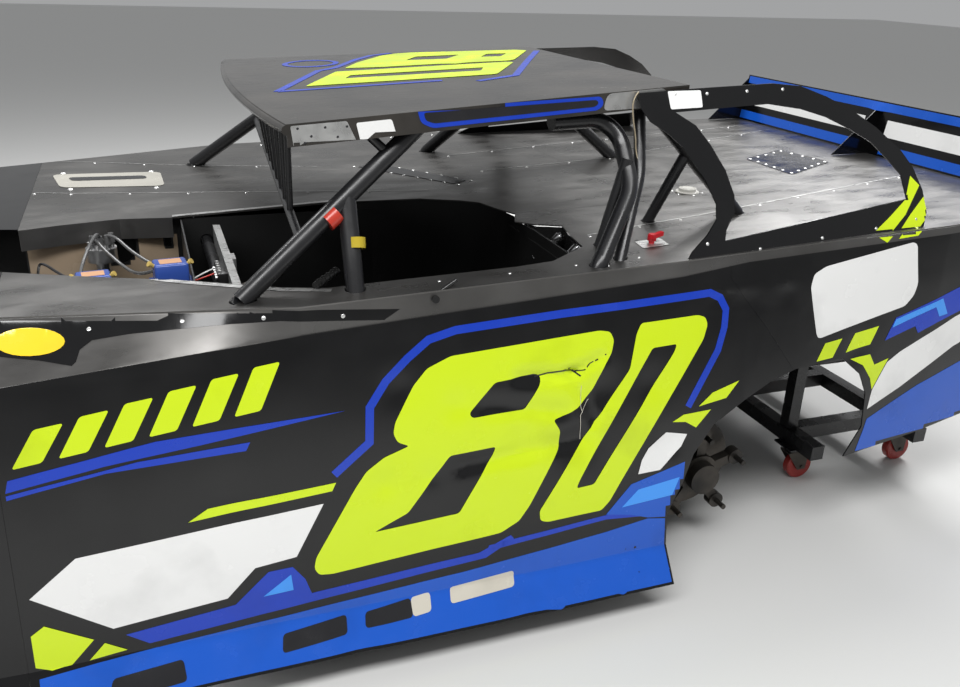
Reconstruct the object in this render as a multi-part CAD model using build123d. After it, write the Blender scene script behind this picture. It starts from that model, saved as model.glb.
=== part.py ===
from build123d import *
import math
import os

# A dirt-track stock car, in millimetres. +X is forward, +Y is the car's left, +Z is up.
# The origin is on the floor, midway between the axles, on the body's centre line.
# The front stands on its tyres. The rear wheels are off, and a stand on casters carries the frame.

# Whole car
wheelbase = 2616
body_length = 5120
sheet = 4
seat_gap = 0.25
tube_clearance = 3

front_axle_x = wheelbase / 2
rear_axle_x = -wheelbase / 2
nose_x = body_length / 2
tail_x = -body_length / 2

# Decks: one plane that rises to the rear
deck_height = 921
deck_rise = 0.03

# Body sides
side_top_y = 978
side_low_y = 1085
side_low_z = 180
lip_y = 1148
lip_z = 92
lap = 18

# Roof, which sits left of the centre line, over the driver
cage_y = 170
roof_front_x = -125
roof_rear_x = -1210
roof_over_deck = 379
roof_rise = 58
roof_half_front = 672
roof_half_rear = 545
roof_bow = 40
roof_flange = 50
roof_bead_radius = 11
roof_front_z = deck_height + roof_over_deck
roof_rear_z = roof_front_z + roof_rise
roof_angle = math.degrees(math.atan(roof_rise / (roof_front_x - roof_rear_x)))

# Frame and cage tubes
rail = 50
rail_z = 190
rail_half = 560
cage_radius = 22
brace_radius = 16
bar_radius = 8
dash_z = deck_height - 81

# Front wheels
tyre_radius = 348
tyre_width = 260
rim_half = 118
rim_radius = 190
wheel_y = 930
kingpin_y = 760
steer_arm = 140
arch_half = 480
arch_top = 748

# Hub with five wide lug pads
lug_count = 5
lug_circle = 130.175
pad_radius = 24
pad_thickness = 16
stud_radius = 7.94
stud_length = 40
hub_radius = 62
spindle_radius = 22
running_fit = 0.05

# Rear axle, which hangs low on its links
rear_hub_y = 867
rear_hub_z = 235
axle_radius = 38
bearing_left = 600
bearing_right = -560
bearing_radius = 56
rotor_radius = 148
rotor_thickness = 20

# Stand on casters
stand_rail = 50
stand_rail_z = 160
stand_x = (tail_x + 710, tail_x + 270)
stand_half = 760
caster_y = 640
caster_radius = 50
caster_width = 32
caster_trail = 32
caster_side_gap = 5
caster_pin = 6


def deck_z(x):
    return deck_height - deck_rise * x


def roof_z(x):
    share = (roof_front_x - x) / (roof_front_x - roof_rear_x)
    return roof_front_z + share * (roof_rear_z - roof_front_z)


def roof_half(x):
    share = (roof_front_x - x) / (roof_front_x - roof_rear_x)
    return roof_half_front + share * (roof_half_rear - roof_half_front)


def block(x0, x1, y0, y1, z0, z1):
    middle = Pos((x0 + x1) / 2, (y0 + y1) / 2, (z0 + z1) / 2)
    return middle * Box(abs(x1 - x0), abs(y1 - y0), abs(z1 - z0))


def rod(start, end, radius):
    along = Vector(*end) - Vector(*start)
    plane = Plane(origin=start, z_dir=along)
    return extrude(plane * Circle(radius), along.length)


def beam(start, end, width):
    along = Vector(*end) - Vector(*start)
    side = Vector(0, 0, 1).cross(along)
    side = side if side.length > 1 else Vector(0, 1, 0)
    plane = Plane(origin=start, x_dir=side, z_dir=along)
    return extrude(plane * Rectangle(width, width), along.length)


def fused(pieces):
    return pieces[0].fuse(*pieces[1:]) if len(pieces) > 1 else pieces[0]


def cut(shape, tools):
    return shape - list(tools)


def right_side(shape):
    return mirror(shape, about=Plane.XZ)


def group(pieces):
    solids = [solid for piece in pieces for solid in piece.solids()]
    return Compound(children=solids)


def largest(shape):
    return max(shape.solids(), key=lambda solid: solid.volume)


def member(run, grow=0):
    # One tube of the frame: its two ends, its width and whether it is square.
    # A bent tube has its list of corners and its list of bend radii in place of the two ends.
    start, end, width, square = run
    if isinstance(start, list):
        path = FilletPolyline(*start, radius=end)
        return sweep(Plane(origin=start[0], z_dir=path % 0) * Circle(width / 2 + grow), path=path)
    return beam(start, end, width + 2 * grow) if square else rod(start, end, width / 2 + grow)


def boxes_meet(a, b):
    p, q = a.bounding_box(), b.bounding_box()
    sides = zip(tuple(p.min), tuple(p.max), tuple(q.min), tuple(q.max))
    return all(low <= other_high and other_low <= high for low, high, other_low, other_high in sides)


def cut_near(piece, tools):
    # The piece less each tool that reaches it, one at a time
    for tool in tools:
        if boxes_meet(piece, tool):
            piece = largest(piece - tool)
    return piece


def coped(runs, others=()):
    # Tubes in order, each cut back where it meets one before it
    before = [member(run, seat_gap) for run in others]
    made = []
    for run in runs:
        made.append(cut_near(member(run), before))
        before.append(member(run, seat_gap))
    return made


def along(start, end, z):
    share = (z - start[2]) / (end[2] - start[2])
    return tuple(a + share * (b - a) for a, b in zip(start, end))


def offset_line(points, distance):
    # The line moved to its right by distance, with mitred corners
    normals = []
    for (a, b), (c, d) in zip(points, points[1:]):
        length = math.hypot(c - a, d - b)
        normals.append(((d - b) / length, -(c - a) / length))
    moved = []
    for i, (a, b) in enumerate(points):
        n = normals[max(i - 1, 0)]
        m = normals[min(i, len(normals) - 1)]
        share = 1 + n[0] * m[0] + n[1] * m[1]
        moved.append((a + distance * (n[0] + m[0]) / share, b + distance * (n[1] + m[1]) / share))
    return moved


def skin(stations, first=0, last=None):
    # A bent sheet through cross-sections (x, [(y, z), ...]); the points run from the inside edge down the left side.
    # A strip of it, from point first to point last, has mitred edges that meet its neighbours
    sections = []
    for x, points in stations:
        end = len(points) if last is None else last + 1
        ring = points[first:end] + offset_line(points, sheet)[first:end][::-1]
        sections.append(make_face(Plane.YZ.offset(x) * Polyline(*ring, close=True)))
    return loft(sections, ruled=True)


def side_prism(outline, y0, y1):
    # A block seen from the side: the outline holds (x, z)
    face = make_face(Polyline(*[(x, y0, z) for x, z in outline], close=True))
    return extrude(face, amount=abs(y1 - y0), dir=(0, 1 if y1 > y0 else -1, 0))


def cross_plate(outline, x0, x1):
    # A plate across the car: the outline holds (y, z)
    face = make_face(Polyline(*[(x0, y, z) for y, z in outline], close=True))
    return extrude(face, amount=abs(x1 - x0), dir=(1 if x1 > x0 else -1, 0, 0))


def deck_plate(outline, top=0, thickness=sheet):
    # A plate in the deck's plane: the outline holds (x, y), and top is its height over the deck
    corners = [(x, y, deck_z(x) + top) for x, y in outline]
    return extrude(make_face(Polyline(*corners, close=True)), amount=thickness, dir=(0, 0, -1))


# Frame: lower rails, clips at both ends, and cross members
rail_left = cage_y + rail_half
rail_right = cage_y - rail_half
front_left = cage_y + 330
front_right = cage_y - 330
rear_left = cage_y + 430
rear_right = cage_y - 430
over_axle_z = 560
rear_end_z = 430
knee_x = tail_x + 760
frame_front_x = nose_x - 360
frame_rear_x = tail_x + 160


# Steering rack in front of the axle, on its own cross member
rack_x = front_axle_x + steer_arm
rack_z = tyre_radius - 112
rack_half = 150
rack_radius = 12
rack_body_radius = 30
rack_cross_x = rack_x + 50


def both(points, width, square):
    # The same tube on the left and on the right: each point is (x, left y, right y, z)
    runs = []
    for side in (1, 2):
        line = [(p[0], p[side], p[3]) for p in points]
        runs += [(a, b, width, square) for a, b in zip(line, line[1:])]
    return runs


frame_runs = both([(-980, rail_left, rail_right, rail_z), (700, rail_left, rail_right, rail_z)], rail, True)
frame_runs += both([(705, rail_left, rail_right, rail_z), (1000, front_left, front_right, rail_z)], rail - 10, True)
frame_runs += both([(985, front_left, front_right, rail_z), (frame_front_x, front_left, front_right, rail_z)], rail, True)
frame_runs += both(
    [
        (-960, rail_left, rail_right, rail_z),
        (-1080, rear_left, rear_right, over_axle_z),
        (knee_x + 60, rear_left, rear_right, over_axle_z),
        (knee_x, rear_left, rear_right, rear_end_z),
        (frame_rear_x, rear_left, rear_right, rear_end_z),
    ],
    44,
    False,
)
cross_members = [
    (-940, rail_left, rail_right, rail_z, rail, True),
    (-420, rail_left, rail_right, rail_z, rail, True),
    (140, rail_left, rail_right, rail_z, rail, True),
    (1010, front_left, front_right, rail_z, rail, True),
    (rack_cross_x, front_left, front_right, rail_z, rail - 6, True),
    (frame_front_x - 25, front_left, front_right, rail_z, rail, True),
    (-1080, rear_left, rear_right, over_axle_z, 38, False),
    (knee_x + 80, rear_left, rear_right, over_axle_z, 38, False),
    (tail_x + 630, rear_left, rear_right, rear_end_z, 38, False),
    (tail_x + 360, rear_left, rear_right, rear_end_z, 38, False),
    (frame_rear_x + 19, rear_left, rear_right, rear_end_z, 38, False),
]
frame_runs += [((x, yl, z), (x, yr, z), width, square) for x, yl, yr, z, width, square in cross_members]
# Front uprights and their tie, which carry the upper arms and the radiator
clip_z = 560
frame_runs += both([(1190, front_left, front_right, rail_z), (1215, front_left, front_right, clip_z)], 38, False)
frame_runs += both([(1392, front_left, front_right, rail_z), (1384, front_left, front_right, clip_z)], 38, False)
frame_runs += both([(150, rail_left, rail_right, 470), (1215, front_left, front_right, clip_z)], 38, False)
frame_runs += both([(1180, front_left, front_right, clip_z), (1960, front_left, front_right, 420)], 38, False)
frame_runs += both([(1950, front_left, front_right, rail_z), (1950, front_left, front_right, 424)], 38, False)

# Cage: pillars, hoop, halo and bars
pillar_low = [(150, rail_left, rail_z), (150, rail_right, rail_z)]
pillar_deck = [(0, 888, deck_z(0)), (0, -612, deck_z(0))]
halo_front_x = -170
halo_rear_x = roof_rear_x + 110
hoop_x = -930


def halo_z(x):
    return roof_z(x) - sheet - seat_gap - cage_radius


def halo_half(x):
    return roof_half(x) - 62


def halo_point(x, side):
    return (x, cage_y + side * halo_half(x), halo_z(x))


pillar_top = [halo_point(-475, 1), halo_point(-475, -1)]
tube = 2 * cage_radius
thin = 2 * brace_radius

# The main hoop's legs are bent tubes: up to the deck, back and inward, then forward under the halo
hoop_low = [(-760, rail_left, rail_z), (-760, rail_right, rail_z)]
hoop_knee = (-868, 925 - cage_y, 938 - deck_height)
hoop_back = (-1015, 800 - cage_y, 1110 - deck_height)
hoop_bends = [60, 150, 78]
under_halo = tube + seat_gap


def cage_place(offsets, side):
    # A point of the cage from (x, distance from the cage's middle, height over the deck's zero)
    return (offsets[0], cage_y + side * offsets[1], deck_height + offsets[2])


def under(x, side, extra=0):
    px, py, pz = halo_point(x, side)
    return (px, py, pz - under_halo - extra)


def hoop_corners(i, side):
    return [hoop_low[i], cage_place(hoop_knee, side), cage_place(hoop_back, side), under(-1018, side, 8), under(-820, side)]


hoop_deck = [cage_place(hoop_knee, 1), cage_place(hoop_knee, -1)]
down_deck = [(-1500, 597, deck_z(-1500)), (-1523, -245, deck_z(-1523))]
down_low = [(knee_x + 70, rear_left, over_axle_z), (knee_x + 70, rear_right, over_axle_z)]

halo_runs = [
    (halo_point(halo_front_x, 1), halo_point(halo_rear_x, 1), tube, False),
    (halo_point(halo_front_x, -1), halo_point(halo_rear_x, -1), tube, False),
    (halo_point(halo_front_x + 10, 1), halo_point(halo_front_x + 10, -1), tube, False),
    (halo_point(halo_rear_x - 10, 1), halo_point(halo_rear_x - 10, -1), tube, False),
    (halo_point(halo_front_x, 1), halo_point(hoop_x, -1), thin, False),
]
leg_runs = []
for i, side in ((0, 1), (1, -1)):
    leg_runs += [(pillar_low[i], pillar_deck[i], tube, False), (pillar_top[i], pillar_deck[i], tube, False)]
    leg_runs.append((hoop_corners(i, side), hoop_bends, tube, False))
    leg_runs += [(halo_point(halo_rear_x, side), down_deck[i], tube, False), (down_low[i], down_deck[i], tube, False)]
    for z in (420, 620):
        leg_runs.append((along(pillar_low[i], pillar_deck[i], z), along(hoop_low[i], hoop_deck[i], z), thin, False))
leg_runs.append((halo_point(hoop_x, 1), halo_point(hoop_x, -1), tube, False))
dash_ends = [along(pillar_low[i], pillar_deck[i], dash_z) for i in (0, 1)]
dash_run = (dash_ends[0], dash_ends[1], thin, False)
leg_runs.append(dash_run)

# Bars on the driver's side only: the post, its strut, the bent rear post, the hoop's diagonal and the brace
post_foot = (-258, 932, deck_z(-258) - 90)
post_top = along(pillar_deck[0], pillar_top[0], deck_height + 204)
strut_foot = along(pillar_deck[0], pillar_top[0], deck_height + 292)
brace_foot = (-1174, 585, deck_z(-1174) - 60)
brace_top = along(down_deck[0], halo_point(halo_rear_x, 1), deck_height + 244)
rear_post = [halo_point(halo_rear_x + 12, 1), (-1060, 757, deck_height + 214), (-938, 903, deck_height + 2)]
rear_post.append(along(hoop_low[0], hoop_deck[0], deck_height - 100))
diagonal_foot = (-944, 762, deck_height - 30)
leg_runs += [
    (post_foot, post_top, tube, False),
    ((-250, *along(pillar_low[0], pillar_deck[0], 620)[1:]), post_foot, thin, False),
    (halo_point(-300, 1), strut_foot, 2 * 11, False),
    (rear_post, [190, 24], thin, False),
    ((-1014, 768, deck_height + 258), diagonal_foot, thin, False),
    ((-900, rail_left, rail_z), diagonal_foot, thin, False),
    (brace_foot, brace_top, thin, False),
    (brace_foot, (-1090, rear_left, over_axle_z), thin, False),
]

# Bars in front of the driver: a base tube between the pillars and thin bars up to the halo
screen_z = 1035
screen_count = 7
screen_first_y = 20
screen_pitch = 100
screen_left = along(pillar_deck[0], pillar_top[0], screen_z)
screen_right = along(pillar_deck[1], pillar_top[1], screen_z + 60)
screen_runs = [(screen_right, screen_left, 22, False)]
for i in range(screen_count):
    y = screen_first_y + i * screen_pitch
    share = (y - screen_right[1]) / (screen_left[1] - screen_right[1])
    low = tuple(a + share * (b - a) for a, b in zip(screen_right, screen_left))
    screen_runs.append((low, (halo_front_x + 10, y, halo_z(halo_front_x + 10)), 2 * bar_radius, False))


def clearance_tubes(runs=None):
    return [member(run, tube_clearance) for run in (runs or frame_runs + leg_runs)]


def cleared(plate, runs=None):
    # The plate with a hole round each tube that passes through it
    return cut_near(plate, clearance_tubes(runs))


# Body sides: each row is a cross-section, from the deck's edge down to the kick lip
side_rows = [
    # x, deck edge y, drop of the side's top under the deck, top y
    (520, 812, 93, 984),
    (-117, 966, 64, side_top_y),
    (-1099, 958, 40, 968),
    (-1300, 950, 24, 961),
    (-2003, 925, 22, 938),
    (tail_x, 872, 22, 886),
]


def lower_share(x):
    # 0 along the doors, growing to 1 at the tail, where the side tapers in
    return min(1, max(0, (-1300 - x) / (-1300 - tail_x)))


def side_section(x, edge_y, drop, top_y, strip):
    top = (top_y, deck_z(x) - drop)
    low = (side_low_y - 175 * lower_share(x), side_low_z)
    lip = (lip_y - 175 * lower_share(x), lip_z)
    if not strip:
        return [top, low, lip]
    length = math.hypot(low[0] - top[0], low[1] - top[1])
    down = ((low[0] - top[0]) / length, (low[1] - top[1]) / length)
    inner = sheet + seat_gap
    tuck = (top[0] + down[1] * inner, top[1] - down[0] * inner)
    tail = (tuck[0] + down[0] * lap, tuck[1] + down[1] * lap)
    return [(edge_y, deck_z(x) - sheet - seat_gap), tuck, tail]


def side_skin(strip=False):
    shell = skin([(x, side_section(x, e, d, t, strip)) for x, e, d, t in side_rows])
    return cleared(shell, leg_runs) if strip else shell


# Rear wheel arch, seen from the side, and the slanted joint between door and quarter panel
rear_arch = [
    (-1070, 0),
    (-1070, 270),
    (-1115, 349),
    (-1147, 429),
    (-1207, 505),
    (-1307, 562),
    (-1396, 600),
    (-1480, 622),
    (-1650, 629),
    (-1728, 568),
    (-1760, 505),
    (-1763, 398),
    (-1701, 315),
    (-2000, 330),
    (tail_x - 60, 395),
    (tail_x - 60, 0),
]
seam = [(-1285, 846), (-1370, 749), (-1479, 610)]
panel_gap = 0.6
front_seam_x = 520


def door_panel():
    front_part = [(front_seam_x + 40, -50), (front_seam_x + 40, 1200), (-1240, 1200), (-1240, 900)]
    front_part += seam + [(-1479, -50)]
    panel = side_skin() & side_prism(front_part, 600, 1300)
    return largest(panel - side_prism(rear_arch, 600, 1300))


def quarter_panel():
    moved = [(x - panel_gap, z) for x, z in [(-1240, 1200), (-1240, 900)] + seam + [(-1479, -50)]]
    panel = side_skin() & side_prism(moved + [(tail_x - 60, -50), (tail_x - 60, 1200)], 600, 1300)
    return largest(panel - side_prism(rear_arch, 600, 1300))


# Front fenders and nose
hood_left = 400
hood_right = -60
fender_rows = [
    # x, deck edge y, deck edge z, top y, top z, low y, low z, lip y, lip z
    (front_seam_x + panel_gap, 812, deck_z(520), 984, deck_height - 111, side_low_y, side_low_z, lip_y, lip_z),
    (900, 780, deck_height - 37, 1000, deck_height - 109, 1090, 190, 1140, 100),
    (front_axle_x, 760, deck_height - 71, 1010, deck_height - 115, 1100, 210, 1140, 120),
    (nose_x - 760, 730, deck_height - 151, 985, deck_height - 201, 1060, 210, 1100, 130),
    (nose_x - 560, 700, deck_height - 196, 950, deck_height - 251, 1010, 200, 1050, 125),
]
front_arch = [
    (front_axle_x - arch_half, 0),
    (front_axle_x - arch_half, 480),
    (front_axle_x - 350, 660),
    (front_axle_x - 210, arch_top),
    (front_axle_x + 210, arch_top),
    (front_axle_x + 350, 660),
    (front_axle_x + arch_half, 480),
    (front_axle_x + arch_half, 0),
]


def fender(side):
    stations = []
    for i, (x, ey, ez, ty, tz, ly, lz, py, pz) in enumerate(fender_rows):
        inner_y = hood_edge(x, side)
        stations.append((x, [(inner_y, ez), (ey, ez), (ty, tz), (ly, lz), (py, pz)]))
    top = skin(stations, 0, 2)
    flank = largest(skin(stations, 2, 4) - side_prism(front_arch, 600, 1400))
    return group([piece if side > 0 else right_side(piece) for piece in (top, flank)])


def hood_edge(x, side):
    # The inner edge of the fender top, measured outward from the centre line
    if side > 0:
        return max(hood_left, 492 - (x - 528) * 0.25)
    return -min(hood_right + 170 * max(0, (700 - x) / 180), 110)


nose_rows = [
    # x, half width at the top, top z, half width at the shoulder, shoulder z, low half width, low z
    (nose_x - 560 + panel_gap, 700, deck_height - 196, 950, deck_height - 251, 1050, 125),
    (nose_x - 210, 640, 590, 880, 530, 960, 110),
    (nose_x - sheet, 560, 440, 760, 380, 820, 100),
]


def nose():
    stations = []
    for x, hy, hz, sy, sz, ly, lz in nose_rows:
        left = [(hy, hz), (sy, sz), (ly, lz)]
        stations.append((x, [(-y, z) for y, z in left[::-1]] + left))
    # The top sheet runs from shoulder to shoulder, and a cheek closes each side below it
    sheets = [skin(stations, 1, 4), skin(stations, 0, 1), skin(stations, 4, 5)]
    x, hy, hz, sy, sz, ly, lz = nose_rows[-1]
    outline = [(hy, hz), (sy, sz), (ly, lz), (-ly, lz), (-sy, sz), (-hy, hz)]
    front = cross_plate(outline, nose_x - sheet, nose_x)
    mouth = block(nose_x - 30, nose_x + 30, -420, 420, 150, 300)
    return group(sheets + [front - mouth])


# Decks. The opening over the cockpit and the engine, seen from above, from its front to its rear
hood_left_y = 496
hood_right_y = 118
deck_split_y = 395
opening_left = [(299, 610), (114, 697), (-95, 822), (-200, 862), (-677, 862), (-780, 850), (-906, 762)]
opening_left += [(-920, 650), (-939, 560), (-869, 520), (-826, 477), (-860, deck_split_y)]
bay_edge = [(415, 97), (255, 80), (109, 112)]
opening_right = bay_edge + [(-361, 88), (-640, 131), (-753, 195), (-804, 239), (-833, 338), (-860, deck_split_y - 1)]
bay_flange = 60


def edge_y(x):
    rows = [(row[0], row[1]) for row in side_rows]
    for (xa, ya), (xb, yb) in zip(rows, rows[1:]):
        if xb <= x <= xa:
            return ya + (yb - ya) * (x - xa) / (xb - xa)
    return rows[0][1]


def deck(side):
    edge = [(x, side * edge_y(x)) for x in (front_seam_x, -117, -1099, -1300)]
    inner, hood_y, split = (opening_left, hood_left_y, deck_split_y) if side > 0 else (opening_right, hood_right_y, deck_split_y - 1)
    plate = deck_plate([(front_seam_x, hood_y)] + edge + [(-1300, split)] + inner[::-1])
    if side < 0:
        # The edge along the engine bay is turned down
        rim_line = [(front_seam_x - 1, 119)] + bay_edge
        plate = fused([plate, deck_plate(rim_line + offset_line(rim_line, sheet)[::-1], 0, bay_flange)])
    return cleared(plate)


def rear_deck():
    xs = (-1300 - panel_gap, -2003, tail_x)
    outline = [(x, edge_y(x)) for x in xs] + [(x, -edge_y(x)) for x in xs[::-1]]
    return cleared(deck_plate(outline))


# Roof
def roof_panel():
    xf = roof_front_x
    left_front = (xf, cage_y + roof_half_front)
    right_front = (xf, cage_y - roof_half_front)
    front = ThreePointArc(left_front, (xf + roof_bow, cage_y), right_front)
    rear = [(roof_rear_x, cage_y - roof_half_rear), (roof_rear_x, cage_y + roof_half_rear)]
    rest = Polyline(right_front, *rear, left_front)
    top = extrude(make_face(front + rest), amount=sheet)
    angle = math.degrees(math.atan((roof_half_front - roof_half_rear) / (roof_front_x - roof_rear_x)))
    length = math.hypot(roof_front_x - roof_rear_x, roof_half_front - roof_half_rear)
    pieces = [top]
    for side in (1, -1):
        flange = block(-length, 0, -sheet / 2, sheet / 2, sheet - roof_flange, sheet)
        turned = Rot(0, 0, side * angle) * Pos(0, -side * sheet / 2, 0) * flange
        pieces.append(Pos(xf, cage_y + side * roof_half_front, 0) * turned)
    low = -roof_bead_radius + sheet / 2
    arc = ThreePointArc((xf, left_front[1], low), (xf + roof_bow, cage_y, low), (xf, right_front[1], low))
    bead_start = Plane(origin=arc @ 0, z_dir=arc % 0)
    pieces.append(sweep(bead_start * Circle(roof_bead_radius), path=arc))
    whole = fused(pieces)
    return Pos(xf, 0, roof_front_z - sheet) * Rot(0, roof_angle, 0) * Pos(-xf, 0, 0) * whole


# Sail panels: flat sheets that lean in from the decks to the roof.
# The outlines hold (x, height over the deck's zero); the first and last points are on the deck.
sail_outer = [
    (-1113, 30),
    (-1130, 48),
    (-1184, 84),
    (-1219, 117),
    (-1226, 152),
    (-1204, 212),
    (-1149, 292),
    (-1113, 323),
    (-1064, 353),
    (-1041, 386),
    (-1041, 421),
    (-1224, 430),
    (-1471, 439),
    (-1565, 431),
    (-1647, 404),
    (-1728, 369),
    (-1809, 321),
    (-1887, 259),
    (-1922, 213),
    (-1944, 152),
    (-1945, 94),
    (-1922, 54),
]
sail_window = [
    (-1236, 67),
    (-1245, 92),
    (-1279, 132),
    (-1287, 172),
    (-1271, 233),
    (-1237, 294),
    (-1200, 342),
    (-1144, 374),
    (-1352, 384),
    (-1442, 388),
    (-1552, 373),
    (-1634, 351),
    (-1716, 316),
    (-1781, 283),
    (-1832, 235),
    (-1871, 194),
    (-1878, 132),
]
sail_front_x = -1041
sail_foot = {1: 948, -1: -894}
sail_foot_rise = 34
sail_taper = 0.034


def sail(side):
    # The top of the sheet lies against the roof's flange
    top_y = cage_y + side * (roof_half(sail_front_x) + 2 * seat_gap)
    top_rise = roof_z(sail_front_x) - deck_height
    lean = (top_y - sail_foot[side]) / (top_rise - sail_foot_rise)

    def point(x, rise):
        return (x, top_y + sail_taper * side * (x - sail_front_x) + lean * (rise - top_rise), deck_height + rise)

    face = make_face(Polyline(*[point(x, rise) for x, rise in sail_outer], close=True))
    hole = make_face(Polyline(*[point(x, rise) for x, rise in sail_window], close=True))
    plate = extrude(face, amount=sheet, dir=(0, side, 0)) - extrude(hole, amount=3 * sheet, dir=(0, side, 0))
    plate = plate - extrude(hole, amount=sheet, dir=(0, -side, 0))
    under_line = [(x, deck_z(x) + seat_gap) for x in (-900, -2200)]
    below = side_prism(under_line + [(-2200, deck_height - 220), (-900, deck_height - 220)], -1200, 1200)
    return cut_near(largest(plate - below), clearance_tubes(halo_runs + leg_runs))


# Spoiler across the tail, with its braces
spoiler_height = 200
spoiler_x = tail_x + 40
spoiler_half = 860


def spoiler():
    base = deck_z(spoiler_x) + seat_gap
    plate = side_prism(
        [(spoiler_x, base), (spoiler_x - sheet, base), (spoiler_x - 34, base + spoiler_height), (spoiler_x - 30, base + spoiler_height)],
        -spoiler_half,
        spoiler_half,
    )
    pieces = [plate]
    for y in (-spoiler_half + sheet, 0, spoiler_half - sheet):
        brace = side_prism(
            [(spoiler_x, base), (spoiler_x + 170, base - deck_rise * 170 + 3), (spoiler_x - 28, base + spoiler_height - 14)],
            y - 2,
            y + 2,
        )
        pieces.append(brace)
    return fused(pieces)


def tail_panel():
    top = deck_z(tail_x + 3 * sheet) - sheet - seat_gap
    outline = [(850, top), (-850, top), (-880, 560), (-600, 500), (600, 500), (880, 560)]
    hole = block(tail_x - 20, tail_x + 60, -520, 520, 600, 860)
    return cross_plate(outline, tail_x + 2 * sheet, tail_x + 3 * sheet) - hole


# Cockpit: sheets round the driver
floor_z = rail_z + rail / 2 + seat_gap
firewall_x = 84
cockpit_right = 104
cockpit_rear_x = -852
wall_low_left = 690
wall_top_left = 850


def left_wall_y(z):
    return wall_low_left + (wall_top_left - wall_low_left) * (z - floor_z) / (deck_height - floor_z)


def cockpit_panels():
    low = floor_z + sheet + seat_gap
    high = deck_height - sheet - 8
    floor_plate = block(cockpit_rear_x + sheet + 1, firewall_x - 1, rail_right - 10, wall_low_left - 8, floor_z, floor_z + sheet)
    left = cross_plate(
        [(left_wall_y(low), low), (left_wall_y(low) - sheet, low), (left_wall_y(high) - sheet, high), (left_wall_y(high), high)],
        cockpit_rear_x + sheet + seat_gap,
        firewall_x - seat_gap,
    )
    right = block(cockpit_rear_x + sheet + seat_gap, firewall_x - seat_gap, cockpit_right - sheet, cockpit_right, low, high)
    wall = [(cockpit_right - sheet, low), (left_wall_y(low), low), (left_wall_y(high), high), (cockpit_right - sheet, high)]
    front = cross_plate(wall, firewall_x, firewall_x + sheet)
    rear = cross_plate(wall, cockpit_rear_x, cockpit_rear_x + sheet)
    column_hole = rod(column_at(-60), column_at(60), column_radius + 6)
    front = front - column_hole
    pieces = [floor_plate, left, right, front, rear]
    return group([cleared(piece, leg_runs) for piece in pieces] + [bay_wall()])


# Sheet along the engine bay's right side, with a round hole beside the distributor and a small slot
bay_wall_y = 70
bay_wall_low = 705
distributor_x = 285
distributor_y = 150


def bay_wall():
    x0, x1 = firewall_x + sheet + seat_gap, front_seam_x - 5
    outline = [(x0, bay_wall_low), (x1, bay_wall_low)]
    outline += [(x, deck_z(x) - sheet - seat_gap) for x in (x1, x0)]
    sheet_metal = side_prism(outline, bay_wall_y, bay_wall_y + sheet)
    hole = rod((268, bay_wall_y - 5, 828), (268, bay_wall_y + 10, 828), 52)
    slot = block(118, 136, bay_wall_y - 5, bay_wall_y + 10, 820, 868)
    return sheet_metal - hole - slot


# Steering column: a straight shaft through the firewall. Its wheel is off
driver_y = 480
wheel_centre = Vector(-150, driver_y, deck_height - 71)
column_radius = 11
column_slope = math.radians(20)
column_dir = Vector(math.cos(column_slope), 0, -math.sin(column_slope))


def column_at(beyond):
    # A point on the column's axis, measured forward from the firewall
    reach = (firewall_x - wheel_centre.X) / column_dir.X
    point = wheel_centre + column_dir * (reach + beyond)
    return (point.X, point.Y, point.Z)


def steering_column():
    # The bare shaft ends in the splined stub of a quick release, with a collar behind it
    hub = wheel_centre + column_dir * 42
    collar = wheel_centre + column_dir * 74
    stub = rod(tuple(wheel_centre), tuple(hub), 13)
    ring = rod(tuple(hub), tuple(collar), 21)
    return fused([stub, ring, rod(tuple(hub), column_at(40), column_radius)])


def dash():
    # A bracket strip between the pillars' feet, with the column's bearing
    face_x = dash_ends[0][0] - brace_radius - seat_gap
    strip = block(face_x - 20, face_x, 160, 800, dash_z - 30, deck_height - 20)
    mount = block(face_x - 30, face_x, driver_y - 26, driver_y + 26, wheel_centre.Z - 105, deck_height - 20)
    reach = (-20 - wheel_centre.X) / column_dir.X
    centre = wheel_centre + column_dir * reach
    low = centre - column_dir * 60
    high = centre + column_dir * 60
    bore = rod((low.X, low.Y, low.Z), (high.X, high.Y, high.Z), column_radius + running_fit)
    return cleared(fused([strip, mount]) - bore, [run for run in leg_runs if run != dash_run])


# Engine, set back and to the left between the front rails
engine_y = cage_y
engine_rear_x = 260
engine_length = 560


def engine_block():
    x0, x1 = engine_rear_x, engine_rear_x + engine_length
    body = block(x0, x1, engine_y - 130, engine_y + 130, 260, 470)
    sump = block(x0 + 40, x1 - 60, engine_y - 150, engine_y + 150, 190 - 26, 262)
    heads = []
    for side in (1, -1):
        bank = Pos((x0 + x1) / 2, engine_y + side * 150, 520) * Rot(-side * 45, 0, 0) * Box(engine_length - 60, 150, 230)
        heads.append(bank)
    bell = rod((x0, engine_y, 360), (firewall_x + sheet + 6, engine_y, 360), 120)
    mounts = []
    x = x0 + 140
    foot_z = rail_z + rail / 2 + seat_gap
    for side, y in ((1, rail_left), (-1, rail_right)):
        mounts.append(block(x - 30, x + 30, y - 25, y + 25, foot_z, foot_z + 10))
        mounts.append(beam((x, engine_y + side * 100, 330), (x, y, foot_z + 16), 30))
        mounts[-1] = mounts[-1] - block(x - 60, x + 60, y - 60, y + 60, foot_z - 60, foot_z + 5)
    return fused([body, sump, bell] + heads + mounts)


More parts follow.
